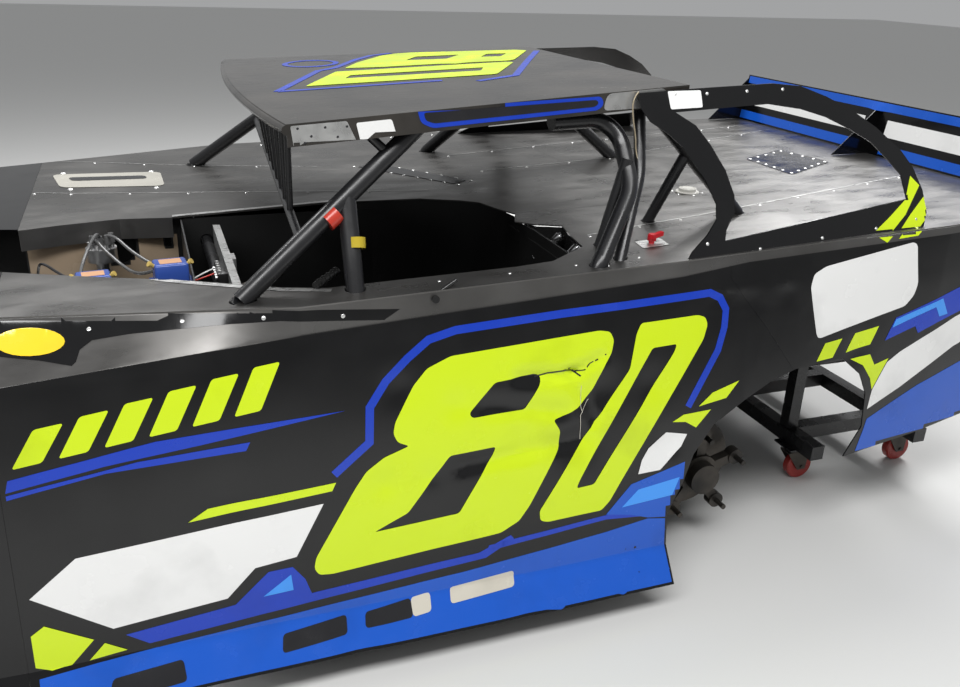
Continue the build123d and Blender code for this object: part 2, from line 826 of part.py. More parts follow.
def engine_top():
    # Intake in the valley, the carburettor's throttle body on it, and the distributor at its rear
    x0, x1 = engine_rear_x, engine_rear_x + engine_length
    middle = (x0 + x1) / 2
    valley = [(20, 496.5), (150, 626.5), (150, 660), (60, 700), (-60, 700), (-150, 660), (-150, 626.5), (-20, 496.5)]
    intake = cross_plate([(engine_y + y, z) for y, z in valley], x0 + 32, x1 - 40)
    bores = [Pos(middle + dx, engine_y + dy, 745) * Cylinder(20, 60) for dx in (-27, 27) for dy in (-27, 27)]
    throttle = block(middle - 60, middle + 60, engine_y - 55, engine_y + 55, 699, 756) - bores
    foot = rod((distributor_x + 25, distributor_y, 690), (distributor_x + 25, distributor_y, 815), 20)
    cap_low = (distributor_x + 25, distributor_y, 814)
    cap = rod(cap_low, (distributor_x + 25, distributor_y, 852), 42)
    towers = []
    for i in range(8):
        angle = math.tau * i / 8
        px, py = cap_low[0] + 29 * math.cos(angle), cap_low[1] + 29 * math.sin(angle)
        towers.append(rod((px, py, 851), (px, py, 868), 7))
    towers.append(rod((*cap_low[:2], 851), (*cap_low[:2], 872), 8))
    return group([fused([intake, throttle, foot, cap] + towers)])


# Running gear
def lug_hub(face_y, side, inner_y, first_angle=90):
    # The hub at the car's left when side is 1; face_y is where a wheel seats
    x, z = 0, 0
    barrel = rod((x, inner_y, z), (x, face_y, z), hub_radius)
    cap = rod((x, face_y, z), (x, face_y + side * 34, z), hub_radius - 14)
    pieces = [barrel, cap]
    for i in range(lug_count):
        angle = math.radians(first_angle + 360 * i / lug_count)
        px, pz = lug_circle * math.cos(angle), lug_circle * math.sin(angle)
        arm = beam((x, face_y - side * 24, z), (x + px, face_y - side * 18, z + pz), 30)
        pad = rod((x + px, face_y - side * pad_thickness * 2, z + pz), (x + px, face_y, z + pz), pad_radius)
        stud = rod((x + px, face_y - 1 * side, z + pz), (x + px, face_y + side * stud_length, z + pz), stud_radius)
        pieces += [arm, pad, stud]
    return fused(pieces)


def rear_hub(side):
    # The right hub sits half a stud's pitch round from the left one
    first_angle = 90 if side > 0 else 90 + 180 / lug_count
    hub = lug_hub(side * rear_hub_y, side, side * (rear_hub_y - 115), first_angle)
    rotor_y = side * (rear_hub_y - 92)
    rotor = rod((0, rotor_y - rotor_thickness / 2, 0), (0, rotor_y + rotor_thickness / 2, 0), rotor_radius)
    bore = rod((0, side * (rear_hub_y - 200), 0), (0, side * (rear_hub_y - 40), 0), axle_radius + running_fit)
    return Pos(rear_axle_x, 0, rear_hub_z) * (fused([hub, rotor]) - bore)


def rear_axle():
    tube_end = rear_hub_y - 42
    tubes = rod((0, -tube_end, 0), (0, tube_end, 0), axle_radius)
    centre = rod((0, 60, 0), (0, 210, 0), 128)
    cover = block(-210, 0, 75, 195, -105, 90)
    nose_piece = rod((60, 135, 20), (210, 135, 20), 62)
    bells = [rod((0, 135 + s * 75, 0), (0, 135 + s * 170, 0), 82) for s in (1, -1)]
    cages = []
    for s, y in ((1, bearing_left), (-1, bearing_right)):
        outline = [(-105, -110), (70, -110), (90, 120), (-90, 120), (-105, -20)]
        cages.append(side_prism(outline, y + s * 27, y + s * 37))
        cages.append(rod((0, y - 37, 0), (0, y + 37, 0), bearing_radius))
    return Pos(rear_axle_x, 0, rear_hub_z) * fused([tubes, centre, cover, nose_piece] + bells + cages)


def rear_links():
    # Two rods a side, from the bearing cages forward to the frame
    runs = []
    for y, frame_y in ((bearing_left, rear_left), (bearing_right, rear_right)):
        start = (rear_axle_x, y, rear_hub_z)
        runs.append((start, (-1080, frame_y, over_axle_z), 28, False))
        runs.append((start, (-945, frame_y - 60, rail_z), 28, False))
    cage = rod((rear_axle_x, -1000, rear_hub_z), (rear_axle_x, 1000, rear_hub_z), bearing_radius + seat_gap)
    pieces = [cut_near(largest(member(run) - cage), [member(r, seat_gap) for r in frame_runs]) for run in runs]
    return group(pieces)


def rear_calipers():
    pieces = []
    for side in (1, -1):
        y = side * (rear_hub_y - 92)
        body = block(70, 175, y - 40, y + 40, -55, 55) - rod((0, y - rotor_thickness / 2 - 5, 0), (0, y + rotor_thickness / 2 + 5, 0), rotor_radius + 5)
        body = body - rod((0, y - 60, 0), (0, y + 60, 0), 84)
        arm = block(10, 100, y - side * 39, y - side * 58, -25, 25)
        arm = arm - rod((0, y - 100, 0), (0, y + 100, 0), axle_radius + seat_gap)
        pieces.append(Pos(rear_axle_x, 0, rear_hub_z) * fused([body, arm]))
    return group(pieces)


# Rear dampers in their springs, from the bearing cages up to the frame
damper_low_x = rear_axle_x - 80
damper_high_x = rear_axle_x - 60
damper_low_z = rear_hub_z - 60
damper_out = 37
spring_radius = 32
spring_turns = 6


def coilover(top, bottom):
    # One revolved shape: the rod and its seat, the spring's turns, and the body below them
    line = Vector(*bottom) - Vector(*top)
    length = line.length
    start = 0.16 * length
    pitch = 0.62 * length / spring_turns
    low = start + 6 + spring_turns * pitch
    profile = [(0, 0), (9, 0), (9, start), (spring_radius, start)]
    for i in range(spring_turns):
        z = start + 6 + i * pitch
        profile += [(spring_radius, z + 0.45 * pitch), (20, z + 0.55 * pitch), (20, z + 0.9 * pitch)]
        profile.append((spring_radius, z + pitch))
    profile += [(spring_radius, low + 6), (22, low + 6), (22, length - 20), (9, length - 20), (9, length), (0, length)]
    shape = revolve(make_face(Plane.XZ * Polyline(*profile, close=True)), axis=Axis.Z)
    return Plane(origin=top, z_dir=line) * shape


def rear_dampers():
    frame = [member(run, seat_gap) for run in frame_runs]
    pieces = []
    rows = ((bearing_left + damper_out, rear_left, 1), (bearing_right + damper_out, rear_right, -1))
    for cage_face, frame_y, side in rows:
        low_y = cage_face + 36
        high_y = frame_y + side * 74
        low = (damper_low_x, low_y, damper_low_z)
        high = (damper_high_x, high_y, over_axle_z)
        pins = [rod((damper_low_x, cage_face + seat_gap, damper_low_z), (damper_low_x, low_y + 14, damper_low_z), 9)]
        pins.append(rod((damper_high_x, frame_y, over_axle_z), (damper_high_x, high_y + side * 14, over_axle_z), 9))
        pieces.append(cut_near(fused([coilover(high, low)] + pins), frame))
    return group(pieces)


def rim(side):
    inner, outer = wheel_y - rim_half, wheel_y + rim_half
    profile = [
        (rim_radius - 18, inner),
        (rim_radius + 12, inner),
        (rim_radius + 12, inner + 5),
        (rim_radius - seat_gap, inner + 5),
        (rim_radius - seat_gap, outer - 5),
        (rim_radius + 12, outer - 5),
        (rim_radius + 12, outer),
        (rim_radius - 10, outer),
        (rim_radius - 10, face_front_y + 10),
        (lug_circle - 40, face_front_y + 7),
        (lug_circle - 40, face_front_y + 0.3),
        (rim_radius - 14, face_front_y + 0.3),
        (rim_radius - 14, inner),
    ]
    outline = [(r, y, 0) for r, y in profile[1:]]
    wheel = revolve(make_face(Polyline(*outline, close=True)), axis=Axis.Y)
    studs = []
    for i in range(lug_count):
        angle = math.radians(90 + 360 * i / lug_count)
        px, pz = lug_circle * math.cos(angle), lug_circle * math.sin(angle)
        studs.append(rod((px, face_front_y - 20, pz), (px, face_front_y + 60, pz), stud_radius + 0.4))
    return place_wheel(cut(wheel, studs), side)


face_front_y = 878


def place_wheel(shape, side):
    placed = Pos(front_axle_x, 0, tyre_radius) * shape
    return placed if side > 0 else right_side(placed)


def tyre(side):
    half = tyre_width / 2
    bead = rim_half - 5 - seat_gap
    points = [
        (rim_radius + 12.3, bead),
        (rim_radius + 40, half - 4),
        (tyre_radius - 60, half),
        (tyre_radius - 16, half - 8),
        (tyre_radius, half - 26),
    ]
    outline = [(rim_radius, bead)] + points
    ring = [(r, wheel_y + y, 0) for r, y in outline] + [(r, wheel_y - y, 0) for r, y in outline[::-1]]
    return place_wheel(revolve(make_face(Polyline(*ring, close=True)), axis=Axis.Y), side)


def front_hub(side):
    hub = lug_hub(face_front_y, 1, face_front_y - 62)
    bore = rod((0, face_front_y - 120, 0), (0, face_front_y - 4, 0), spindle_radius + running_fit)
    return place_wheel(hub - bore, side)


def knuckle(side):
    z = 0
    spindle = rod((0, kingpin_y, z), (0, face_front_y - 6, z), spindle_radius)
    upright = rod((0, kingpin_y, z - 105), (0, kingpin_y, z + 120), 20)
    flange = rod((0, kingpin_y + 10, z), (0, kingpin_y + 46, z), 40)
    arm = beam((0, kingpin_y, z - 70), (steer_arm, kingpin_y, z - 70), 24)
    eye = rod((steer_arm, kingpin_y, z - 82), (steer_arm, kingpin_y, z - 58), 18)
    return place_wheel(fused([spindle, upright, flange, arm, eye]), side)


def front_arms(side):
    # Lower and upper arms from the front clip to the ball joints
    inner = (front_left if side > 0 else -front_right) + rail / 2
    y0 = inner + seat_gap
    pieces = []
    low_z = tyre_radius - 105 - 26
    high_z = tyre_radius + 120 + 26
    lower = [rod((front_axle_x + d, y0 - rail / 2, rail_z), (front_axle_x, kingpin_y, low_z), 15) for d in (-150, 130)]
    lower.append(rod((front_axle_x, kingpin_y, low_z - 16), (front_axle_x, kingpin_y, low_z + 26 - seat_gap), 22))
    upper_y = inner - rail / 2
    upper = [rod((front_axle_x + d, upper_y, clip_z - 40), (front_axle_x, kingpin_y, high_z), 11) for d in (-92, 78)]
    upper.append(rod((front_axle_x, kingpin_y, high_z - 26 + seat_gap), (front_axle_x, kingpin_y, high_z + 14), 20))
    frame = [member(run, seat_gap) for run in frame_runs]
    pair = [fused(lower), fused(upper)]
    pair = [piece if side > 0 else right_side(piece) for piece in pair]
    return group([cut_near(piece, frame) for piece in pair])


def rack_housing():
    body = rod((rack_x, cage_y - rack_half, rack_z), (rack_x, cage_y + rack_half, rack_z), rack_body_radius)
    bore = rod((rack_x, cage_y - 400, rack_z), (rack_x, cage_y + 400, rack_z), rack_radius + running_fit)
    foot_z = rail_z + (rail - 6) / 2 + seat_gap
    feet = []
    for s in (1, -1):
        y = cage_y + s * 120
        feet.append(block(rack_x, rack_cross_x + 20, y - 15, y + 15, foot_z, rack_z))
    return fused([body] + feet) - bore


def rack_bar():
    return rod((rack_x, -kingpin_y + 24, rack_z), (rack_x, kingpin_y - 24, rack_z), rack_radius)


# Stand
stand_low = stand_rail_z - stand_rail / 2
stand_high = stand_rail_z + stand_rail / 2


def stand():
    runs = [((x, -stand_half, stand_rail_z), (x, stand_half, stand_rail_z), stand_rail, True) for x in stand_x]
    runs += [((stand_x[0], y, stand_rail_z), (stand_x[1], y, stand_rail_z), stand_rail - 0.5, True) for y in (-600, -250, 250, 600)]
    for y in (rear_left, rear_right):
        for x in stand_x:
            runs.append(((x, y, stand_rail_z), (x, y, rear_end_z), stand_rail - 8, True))
    pieces = coped(runs, [run for run in frame_runs if min(run[0][0], run[1][0]) < -1700])
    plates = []
    for x, y in caster_places():
        plate = block(x - 45, x + 45, y - 45, y + 45, stand_low - seat_gap - 6, stand_low - seat_gap)
        plates.append(plate - rod((x, y, stand_low - 20), (x, y, stand_low), 10 + running_fit))
    return group(pieces + plates)


def caster_places():
    return [(x, s * caster_y) for x in stand_x for s in (1, -1)]


def caster_yoke(x, y):
    inner = caster_width / 2 + caster_side_gap
    top = caster_radius * 2 + 6
    wheel_x = x - caster_trail
    crown = block(wheel_x - 22, x + 30, y - inner - 4, y + inner + 4, top, top + 5)
    cheeks = [
        side_prism([(wheel_x - 16, 40), (wheel_x + 16, 40), (x + 30, top + 1), (wheel_x - 22, top + 1)], y + s * (inner + 2) - 2, y + s * (inner + 2) + 2)
        for s in (1, -1)
    ]
    under = stand_low - seat_gap - 6
    race = rod((x, y, top + 4), (x, y, under - 0.3), 24)
    bolt = rod((x, y, top + 4), (x, y, stand_low - seat_gap - 0.5), 10)
    pin = rod((wheel_x, y - inner - 8, caster_radius), (wheel_x, y + inner + 8, caster_radius), caster_pin)
    return fused([crown, race, bolt, pin] + cheeks)


def caster_wheel(x, y):
    wheel_x = x - caster_trail
    half = caster_width / 2
    profile = [(caster_pin + running_fit, -half - 4.7), (16, -half - 4.7), (16, -half), (caster_radius - 4, -half), (caster_radius, -half + 5)]
    ring = [(r, v, 0) for r, v in profile] + [(r, -v, 0) for r, v in profile[::-1]]
    return Pos(wheel_x, y, caster_radius) * revolve(make_face(Polyline(*ring, close=True)), axis=Axis.Y)


def radiator():
    x = 1840
    half = front_left - cage_y - rail / 2 - seat_gap
    return block(x, x + 70, cage_y - half, cage_y + half, rail_z, 640)


def fuel_cell():
    low = rear_end_z + 19 + seat_gap
    can = block(tail_x + 250, tail_x + 710, cage_y - 280, cage_y + 280, low, low + 300)
    return fillet(can.edges().filter_by(Axis.Z), 30)


os.makedirs("parts", exist_ok=True)

nodes = {
    "chassis_frame": lambda: group(coped(frame_runs)),
    "cage_halo": lambda: group(coped(halo_runs)),
    "cage_legs": lambda: group(coped(leg_runs, frame_runs + halo_runs)),
    "rock_screen": lambda: group(coped(screen_runs, halo_runs + leg_runs)),
    "roof_panel": roof_panel,
    "door_panel_left": door_panel,
    "door_panel_right": lambda: right_side(door_panel()),
    "quarter_panel_left": quarter_panel,
    "quarter_panel_right": lambda: right_side(quarter_panel()),
    "deck_edge_left": lambda: side_skin(True),
    "deck_edge_right": lambda: right_side(side_skin(True)),
    "fender_left": lambda: fender(1),
    "fender_right": lambda: fender(-1),
    "nose": nose,
    "deck_left": lambda: deck(1),
    "deck_right": lambda: deck(-1),
    "rear_deck": rear_deck,
    "sail_left": lambda: sail(1),
    "sail_right": lambda: sail(-1),
    "spoiler": spoiler,
    "tail_panel": tail_panel,
    "cockpit_panels": cockpit_panels,
    "dash": dash,
    "engine_block": engine_block,
    "engine_top": engine_top,
    "radiator": radiator,
    "fuel_cell": fuel_cell,
    "steering_column": steering_column,
    "rear_axle": rear_axle,
    "rear_calipers": rear_calipers,
    "rear_links": rear_links,
    "rear_dampers": rear_dampers,
    "rear_hub_left": lambda: rear_hub(1),
    "rear_hub_right": lambda: rear_hub(-1),
    "front_arms_left": lambda: front_arms(1),
    "front_arms_right": lambda: front_arms(-1),
    "knuckle_left": lambda: knuckle(1),
    "knuckle_right": lambda: knuckle(-1),
    "front_hub_left": lambda: front_hub(1),
    "front_hub_right": lambda: front_hub(-1),
    "rim_left": lambda: rim(1),
    "rim_right": lambda: rim(-1),
    "tyre_left": lambda: tyre(1),
    "tyre_right": lambda: tyre(-1),
    "rack_housing": rack_housing,
    "steering_rack": rack_bar,
    "rear_stand": stand,
}
for number, (x, y) in enumerate(caster_places(), 1):
    nodes[f"caster_yoke_{number}"] = lambda x=x, y=y: caster_yoke(x, y)
    nodes[f"caster_wheel_{number}"] = lambda x=x, y=y: caster_wheel(x, y)

for node, make in nodes.items():
    export_step(make(), f"parts/{node}.step")
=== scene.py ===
import math
import bmesh
import bpy
import mathutils
from mathutils import Matrix, Vector
from mathutils.bvhtree import BVHTree


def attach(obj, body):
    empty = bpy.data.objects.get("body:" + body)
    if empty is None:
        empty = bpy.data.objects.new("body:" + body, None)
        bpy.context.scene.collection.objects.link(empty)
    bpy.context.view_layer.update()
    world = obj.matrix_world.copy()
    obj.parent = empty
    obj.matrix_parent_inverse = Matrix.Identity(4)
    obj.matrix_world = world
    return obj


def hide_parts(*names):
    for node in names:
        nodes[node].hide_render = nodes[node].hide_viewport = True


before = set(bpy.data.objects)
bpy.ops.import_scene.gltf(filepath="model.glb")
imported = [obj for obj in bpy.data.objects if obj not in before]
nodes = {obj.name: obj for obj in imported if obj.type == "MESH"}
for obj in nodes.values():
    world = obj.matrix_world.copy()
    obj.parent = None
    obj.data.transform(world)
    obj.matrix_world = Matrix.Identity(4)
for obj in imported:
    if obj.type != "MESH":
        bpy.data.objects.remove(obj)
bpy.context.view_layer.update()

# Camera and room
# A phone held at eye level beside the driver's door, looking down and back over the car.
# The floor is pale and plain, and the light comes from wide soft panels overhead.
picture_width = 960
focal_pixels = 904.5
eye = Vector((0.173, 2.846, 1.635))
view_forward = Vector((-0.329, -0.861, -0.387)).normalized()
view_up = Vector((-0.103, -0.375, 0.921))
view_right = view_forward.cross(view_up).normalized()
view_up = view_right.cross(view_forward)
lens = bpy.data.cameras.new("photo_camera")
lens.sensor_width = 36
lens.lens = focal_pixels / picture_width * lens.sensor_width
camera = bpy.data.objects.new("photo_camera", lens)
view_turn = Matrix((view_right, view_up, -view_forward)).transposed().to_4x4()
camera.matrix_world = Matrix.Translation(eye) @ view_turn
bpy.context.collection.objects.link(camera)
bpy.context.scene.camera = camera
bpy.context.scene.view_settings.view_transform = "Standard"


def shader(name, color, roughness, metallic=0.0):
    # A material with its Principled shader, ready for colour, gloss and bump patterns
    material = bpy.data.materials.new(name)
    material.use_nodes = True
    surface = material.node_tree.nodes["Principled BSDF"]
    surface.inputs["Base Color"].default_value = (*color, 1)
    surface.inputs["Roughness"].default_value = roughness
    surface.inputs["Metallic"].default_value = metallic
    return material, surface


floor_mesh = bpy.data.meshes.new("floor")
shape = bmesh.new()
bmesh.ops.create_grid(shape, x_segments=1, y_segments=1, size=30)
shape.to_mesh(floor_mesh)
shape.free()
floor = bpy.data.objects.new("floor", floor_mesh)
bpy.context.collection.objects.link(floor)
floor_paint, _ = shader("pale_floor", (0.62, 0.62, 0.61), 0.55)
floor_mesh.materials.append(floor_paint)

world = bpy.data.worlds.new("pale_room")
bpy.context.scene.world = world
world.use_nodes = True
world.node_tree.nodes["Background"].inputs["Color"].default_value = (0.86, 0.87, 0.88, 1)
world.node_tree.nodes["Background"].inputs["Strength"].default_value = 0.42


def panel_light(name, place, turn, size, power):
    # A wide rectangular lamp overhead
    lamp = bpy.data.lights.new(name, "AREA")
    lamp.shape = "RECTANGLE"
    lamp.size, lamp.size_y = size
    lamp.energy = power
    made = bpy.data.objects.new(name, lamp)
    made.location = place
    made.rotation_euler = turn
    bpy.context.collection.objects.link(made)


panel_light("ceiling_left", (0.5, 3.0, 4.2), (math.radians(-25), 0, 0), (6, 1.2), 260)
panel_light("ceiling_right", (-0.5, -2.4, 4.2), (math.radians(22), 0, 0), (6, 1.2), 240)
panel_light("ceiling_rear", (-4.6, -1.8, 3.8), (math.radians(18), math.radians(-40), 0), (1.2, 3), 170)

# Side sheets
# Doors and quarter panels are thin aluminium under gloss black wrap, folded outwards at the sill.
# Knocks have left soft ripples, dents round the numerals and a torn crease, pressed into the sheets here.
mm = 0.001
sheet_grid = 14
crisp_angle = math.radians(35)


def node(material, kind, **values):
    # One node of a material, with its settings and its sockets' values by name
    made = material.node_tree.nodes.new(kind)
    for key, value in values.items():
        if key in made.inputs:
            made.inputs[key].default_value = value
        else:
            setattr(made, key, value)
    return made


def link(material, source, target):
    # Joins two sockets of a material
    material.node_tree.links.new(source, target)


def noise(material, scale, detail=4.0, stretch=(1, 1, 1)):
    # Noise on the piece's own coordinates, in metres, drawn out along an axis where asked
    place = node(material, "ShaderNodeTexCoord")
    mapping = node(material, "ShaderNodeMapping")
    mapping.inputs["Scale"].default_value = stretch
    pattern = node(material, "ShaderNodeTexNoise", Scale=scale, Detail=detail)
    link(material, place.outputs["Object"], mapping.inputs["Vector"])
    link(material, mapping.outputs["Vector"], pattern.inputs["Vector"])
    return pattern.outputs["Fac"]


def ramp(material, source, stops):
    # A colour ramp from a list of (place, colour)
    made = node(material, "ShaderNodeValToRGB")
    elements = made.color_ramp.elements
    while len(elements) < len(stops):
        elements.new(0.5)
    for element, (place, color) in zip(elements, stops):
        element.position = place
        element.color = (*color, 1)
    link(material, source, made.inputs["Fac"])
    return made.outputs["Color"]


def dress(material, *names):
    # A material for CAD pieces, whose meshes stay as they are
    for name in names:
        for slot in nodes[name].material_slots:
            slot.material = material


def grey(level):
    # A grey as a colour
    return (level, level, level)


def uneven_gloss(material, surface, pattern, low, high):
    # Roughness that wanders with a pattern, between two pairs of (place in the pattern, roughness)
    places = [(low[0], grey(low[1])), (high[0], grey(high[1]))]
    link(material, ramp(material, pattern, places), surface.inputs["Roughness"])


gloss_black, surface = shader("gloss_black_wrap", (0.0022, 0.0022, 0.0026), 0.08)
uneven_gloss(gloss_black, surface, noise(gloss_black, 9.0, 8.0), (0.4, 0.12), (0.8, 0.24))
upper_edge = 868
fade = 60
dents = [
    # x, z, reach and depth of each dent
    (-290, 483, 30, 3.5),
    (-403, 483, 26, 3),
    (-477, 650, 34, 3),
    (-790, 510, 60, 6),
    (-860, 640, 55, 7),
    (-650, 545, 45, 4),
    (-1010, 640, 50, 4),
    (-1075, 470, 40, 5),
    (-330, 710, 40, 2.5),
    (60, 500, 60, 3),
    (-1290, 870, 60, 7),
    (-1430, 860, 34, 6),
    (-1700, 640, 45, 4),
    (-640, 120, 40, 4),
    (-200, 125, 50, 5),
]
creases = [
    # The two ends, the half width and the depth of each crease
    ((-640, 704), (-800, 692), 14, 8),
    ((-790, 697), (-862, 728), 12, 7),
    ((-783, 697), (-843, 563), 15, 8),
    ((-483, 497), (-817, 523), 22, 5),
    ((-560, 640), (-760, 600), 24, 5),
    ((-1190, 845), (-1290, 880), 12, 4),
    ((-960, 180), (-1000, 120), 10, 5),
]


def along_crease(x, z, start, end):
    # Distance of a place from a crease's line, in millimetres
    way = Vector(end) - Vector(start)
    share = max(0, min(1, (Vector((x, z)) - Vector(start)).dot(way) / way.length_squared))
    return (Vector((x, z)) - Vector(start) - way * share).length


def press(x, z, knocked):
    # How far the sheet stands out at a place, in metres: ripples everywhere, dents on the knocked side
    soft = 2.4 * mathutils.noise.noise(Vector((x / 430, 3.1, z / 300)))
    soft += 0.9 * mathutils.noise.noise(Vector((x / 120, 0.4, z / 150)))
    if knocked:
        for dent_x, dent_z, reach, depth in dents:
            soft -= depth * math.exp(-((x - dent_x) ** 2 + (z - dent_z) ** 2) / reach ** 2)
        for start, end, width, depth in creases:
            soft -= depth * math.exp(-((along_crease(x, z, start, end) / width) ** 2))
    # The sheet lies flat along its riveted upper edge
    return soft * mm * max(0, min(1, (upper_edge - z) / fade))


def cut_every(shape, axis, step, low, high):
    # Cuts right through a sheet at even steps along one axis, in millimetres
    across = Vector((axis == 0, axis == 1, axis == 2))
    place = math.ceil(low / step) * step
    while place < high:
        parts = shape.verts[:] + shape.edges[:] + shape.faces[:]
        bmesh.ops.bisect_plane(shape, geom=parts, plane_co=across * place * mm, plane_no=across)
        place += step


def piece(name, shape, material):
    # A finished mesh becomes an object that rides on the car, with its sharp edges kept crisp
    for face in shape.faces:
        face.smooth = True
    for edge in shape.edges:
        edge.smooth = len(edge.link_faces) == 2 and edge.calc_face_angle(0) < crisp_angle
    mesh = bpy.data.meshes.new(name)
    shape.to_mesh(mesh)
    shape.free()
    mesh.materials.append(material)
    made = bpy.data.objects.new(name, mesh)
    bpy.context.collection.objects.link(made)
    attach(made, "car")
    return made


side_tree = {}
for side, word in ((1, "left"), (-1, "right")):
    both = bmesh.new()
    for kind, low, high in (("door_panel", -1490, 530), ("quarter_panel", -2520, -1200)):
        shape = bmesh.new()
        shape.from_mesh(nodes[f"{kind}_{word}"].data)
        bmesh.ops.remove_doubles(shape, verts=shape.verts[:], dist=0.00001)
        cut_every(shape, 0, sheet_grid, low, high)
        cut_every(shape, 2, sheet_grid, 60, 900)
        for vert in shape.verts:
            vert.co.y += side * press(vert.co.x / mm, vert.co.z / mm, side == 1)
        skin = piece(f"{kind}_{word}_pressed", shape, gloss_black)
        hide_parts(f"{kind}_{word}")
        both.from_mesh(skin.data)
    side_tree[word] = BVHTree.FromBMesh(both)
    both.free()
dress(
    gloss_black,
    "fender_left",
    "fender_right",
    "nose",
    "tail_panel",
    "spoiler",
    "sail_left",
    "sail_right",
)

# Side graphics
# Glossy coloured vinyl cut to shape and laid on the wrap: a large number with its border line, a blue
# field over the sill, and blank plain panels. The pieces follow the dents of the sheet under them.


def vinyl(name, color, roughness=0.22):
    # A coloured film or plastic, a little darker and duller in worn patches
    made, surface = shader(name, color, roughness)
    worn = [(0.3, tuple(0.88 * c for c in color)), (0.45, color), (1.0, color)]
    link(made, ramp(made, noise(made, 5.0, 10.0), worn), surface.inputs["Base Color"])
    uneven_gloss(made, surface, noise(made, 14.0, 6.0), (0.4, 0.14), (0.75, 0.34))
    return made


lime = vinyl("lime_vinyl", (0.54, 0.70, 0.008))
blue = vinyl("blue_vinyl", (0.005, 0.038, 0.40))
field_blue = vinyl("field_blue_vinyl", (0.006, 0.080, 0.46))
# Sky blue for the light blue pieces of the graphics; on the quarter it also makes a painted sheen patch.
sky_blue = vinyl("sky_blue_vinyl_and_painted_sheen", (0.045, 0.27, 0.78))
white = vinyl("white_vinyl", (0.72, 0.72, 0.71))
cream = vinyl("cream_vinyl", (0.52, 0.49, 0.42))
black = vinyl("black_vinyl", (0.012, 0.012, 0.014))
vinyl_thickness = 0.0004
sill_fold = 180
facings = {"left": Vector((0, -1, 0)), "right": Vector((0, 1, 0)), "top": Vector((0, 0, -1))}
# Rays start this many metres from the car's middle, outside everything
ray_start = 3


def added(grown):
    # The vertices that an extrusion has added
    return [part for part in grown["geom"] if isinstance(part, bmesh.types.BMVert)]


def give_thickness(shape, way):
    # Turns a laid sheet to face outwards, and thickens it to a closed shell towards what it lies on
    bmesh.ops.recalc_face_normals(shape, faces=shape.faces[:])
    if sum(face.normal.dot(way) for face in shape.faces) > 0:
        bmesh.ops.reverse_faces(shape, faces=shape.faces[:])
    grown = bmesh.ops.extrude_face_region(shape, geom=shape.faces[:], use_keep_orig=True)
    bmesh.ops.translate(shape, vec=way * vinyl_thickness, verts=added(grown))
    bmesh.ops.recalc_face_normals(shape, faces=shape.faces[:])


def sticker(
    name, outline, material, facing, tree, lift, holes=(), corner=0, step=sheet_grid
):
    # Vinyl cut to an outline in millimetres, seen from one side, and pressed on to what it lies on
    shape = bmesh.new()
    for loop in [outline, *holes]:
        shape.faces.new([shape.verts.new((u * mm, v * mm, 0)) for u, v in loop])
    if corner:
        bmesh.ops.bevel(
            shape,
            geom=shape.verts[:],
            offset=corner * mm,
            affect="VERTICES",
            segments=3,
            profile=0.5,
            material=-1,
        )
    bmesh.ops.delete(shape, geom=shape.faces[:], context="FACES_ONLY")
    bmesh.ops.triangle_fill(shape, edges=shape.edges[:], use_beauty=True)
    way = facings[facing]
    for vert in shape.verts:
        u, v, _ = vert.co
        vert.co = (u, v, ray_start) if facing == "top" else (u, -ray_start * way.y, v)
    across = 1 if facing == "top" else 2
    cut_every(shape, 0, step, min(u for u, v in outline), max(u for u, v in outline))
    cut_every(shape, across, step, min(v for u, v in outline), max(v for u, v in outline))
    if facing != "top":
        cut_every(shape, 2, sill_fold, sill_fold - 1, sill_fold + 1)
    lost = []
    for vert in shape.verts:
        place, normal, _, _ = tree.ray_cast(vert.co, way)
        if place is None:
            lost.append(vert)
        else:
            vert.co = place + normal * (lift * mm if normal.dot(way) < 0 else -lift * mm)
    bmesh.ops.delete(shape, geom=lost, context="VERTS")
    give_thickness(shape, way)
    piece(name, shape, material)


def ribbon(points, width):
    # The outline of a band of even width along a line of points
    line = [Vector(p) for p in points]
    sides = ([], [])
    for i, p in enumerate(line):
        before = (p - line[i - 1]).normalized() if i > 0 else (line[1] - p).normalized()
        after = (line[i + 1] - p).normalized() if i + 1 < len(line) else before
        across = (before + after).normalized().orthogonal()
        reach = width / 2 / max(0.5, across.dot(before.orthogonal()))
        sides[0].append(tuple(p + across * reach))
        sides[1].append(tuple(p - across * reach))
    return sides[0] + sides[1][::-1]


eight = [
    (-463, 777), (-857, 799), (-886, 793), (-897, 771), (-891, 739), (-843, 650), (-814, 613), (-777, 593),
    (-731, 581), (-750, 550), (-747, 503), (-663, 366), (-633, 329), (-583, 306), (-150, 279), (-119, 283),
    (-109, 301), (-115, 327), (-217, 483), (-246, 521), (-290, 550), (-353, 570), (-325, 583), (-315, 606),
    (-321, 633), (-370, 717), (-403, 753),
]
eight_upper = [(-574, 699), (-683, 707), (-697, 697), (-693, 679), (-653, 619), (-513, 617), (-506, 630)]
eight_lower = [(-454, 530), (-574, 535), (-566, 513), (-473, 377), (-257, 366), (-343, 401)]
zero = [
    (-975, 806), (-1143, 811), (-1166, 803), (-1174, 783), (-1163, 745), (-893, 338), (-868, 316),
    (-712, 312), (-692, 319), (-690, 345), (-945, 690), (-962, 780),
]
zero_slot = [(-1010, 738), (-1082, 741), (-1076, 722), (-846, 392), (-795, 389), (-805, 410)]
border = [
    (-170, 526), (-257, 593), (-262, 677), (-303, 734), (-357, 783), (-410, 822), (-477, 838), (-750, 851),
    (-923, 856), (-1177, 866), (-1210, 850), (-1230, 817), (-1227, 770), (-1210, 710), (-1123, 566),
]
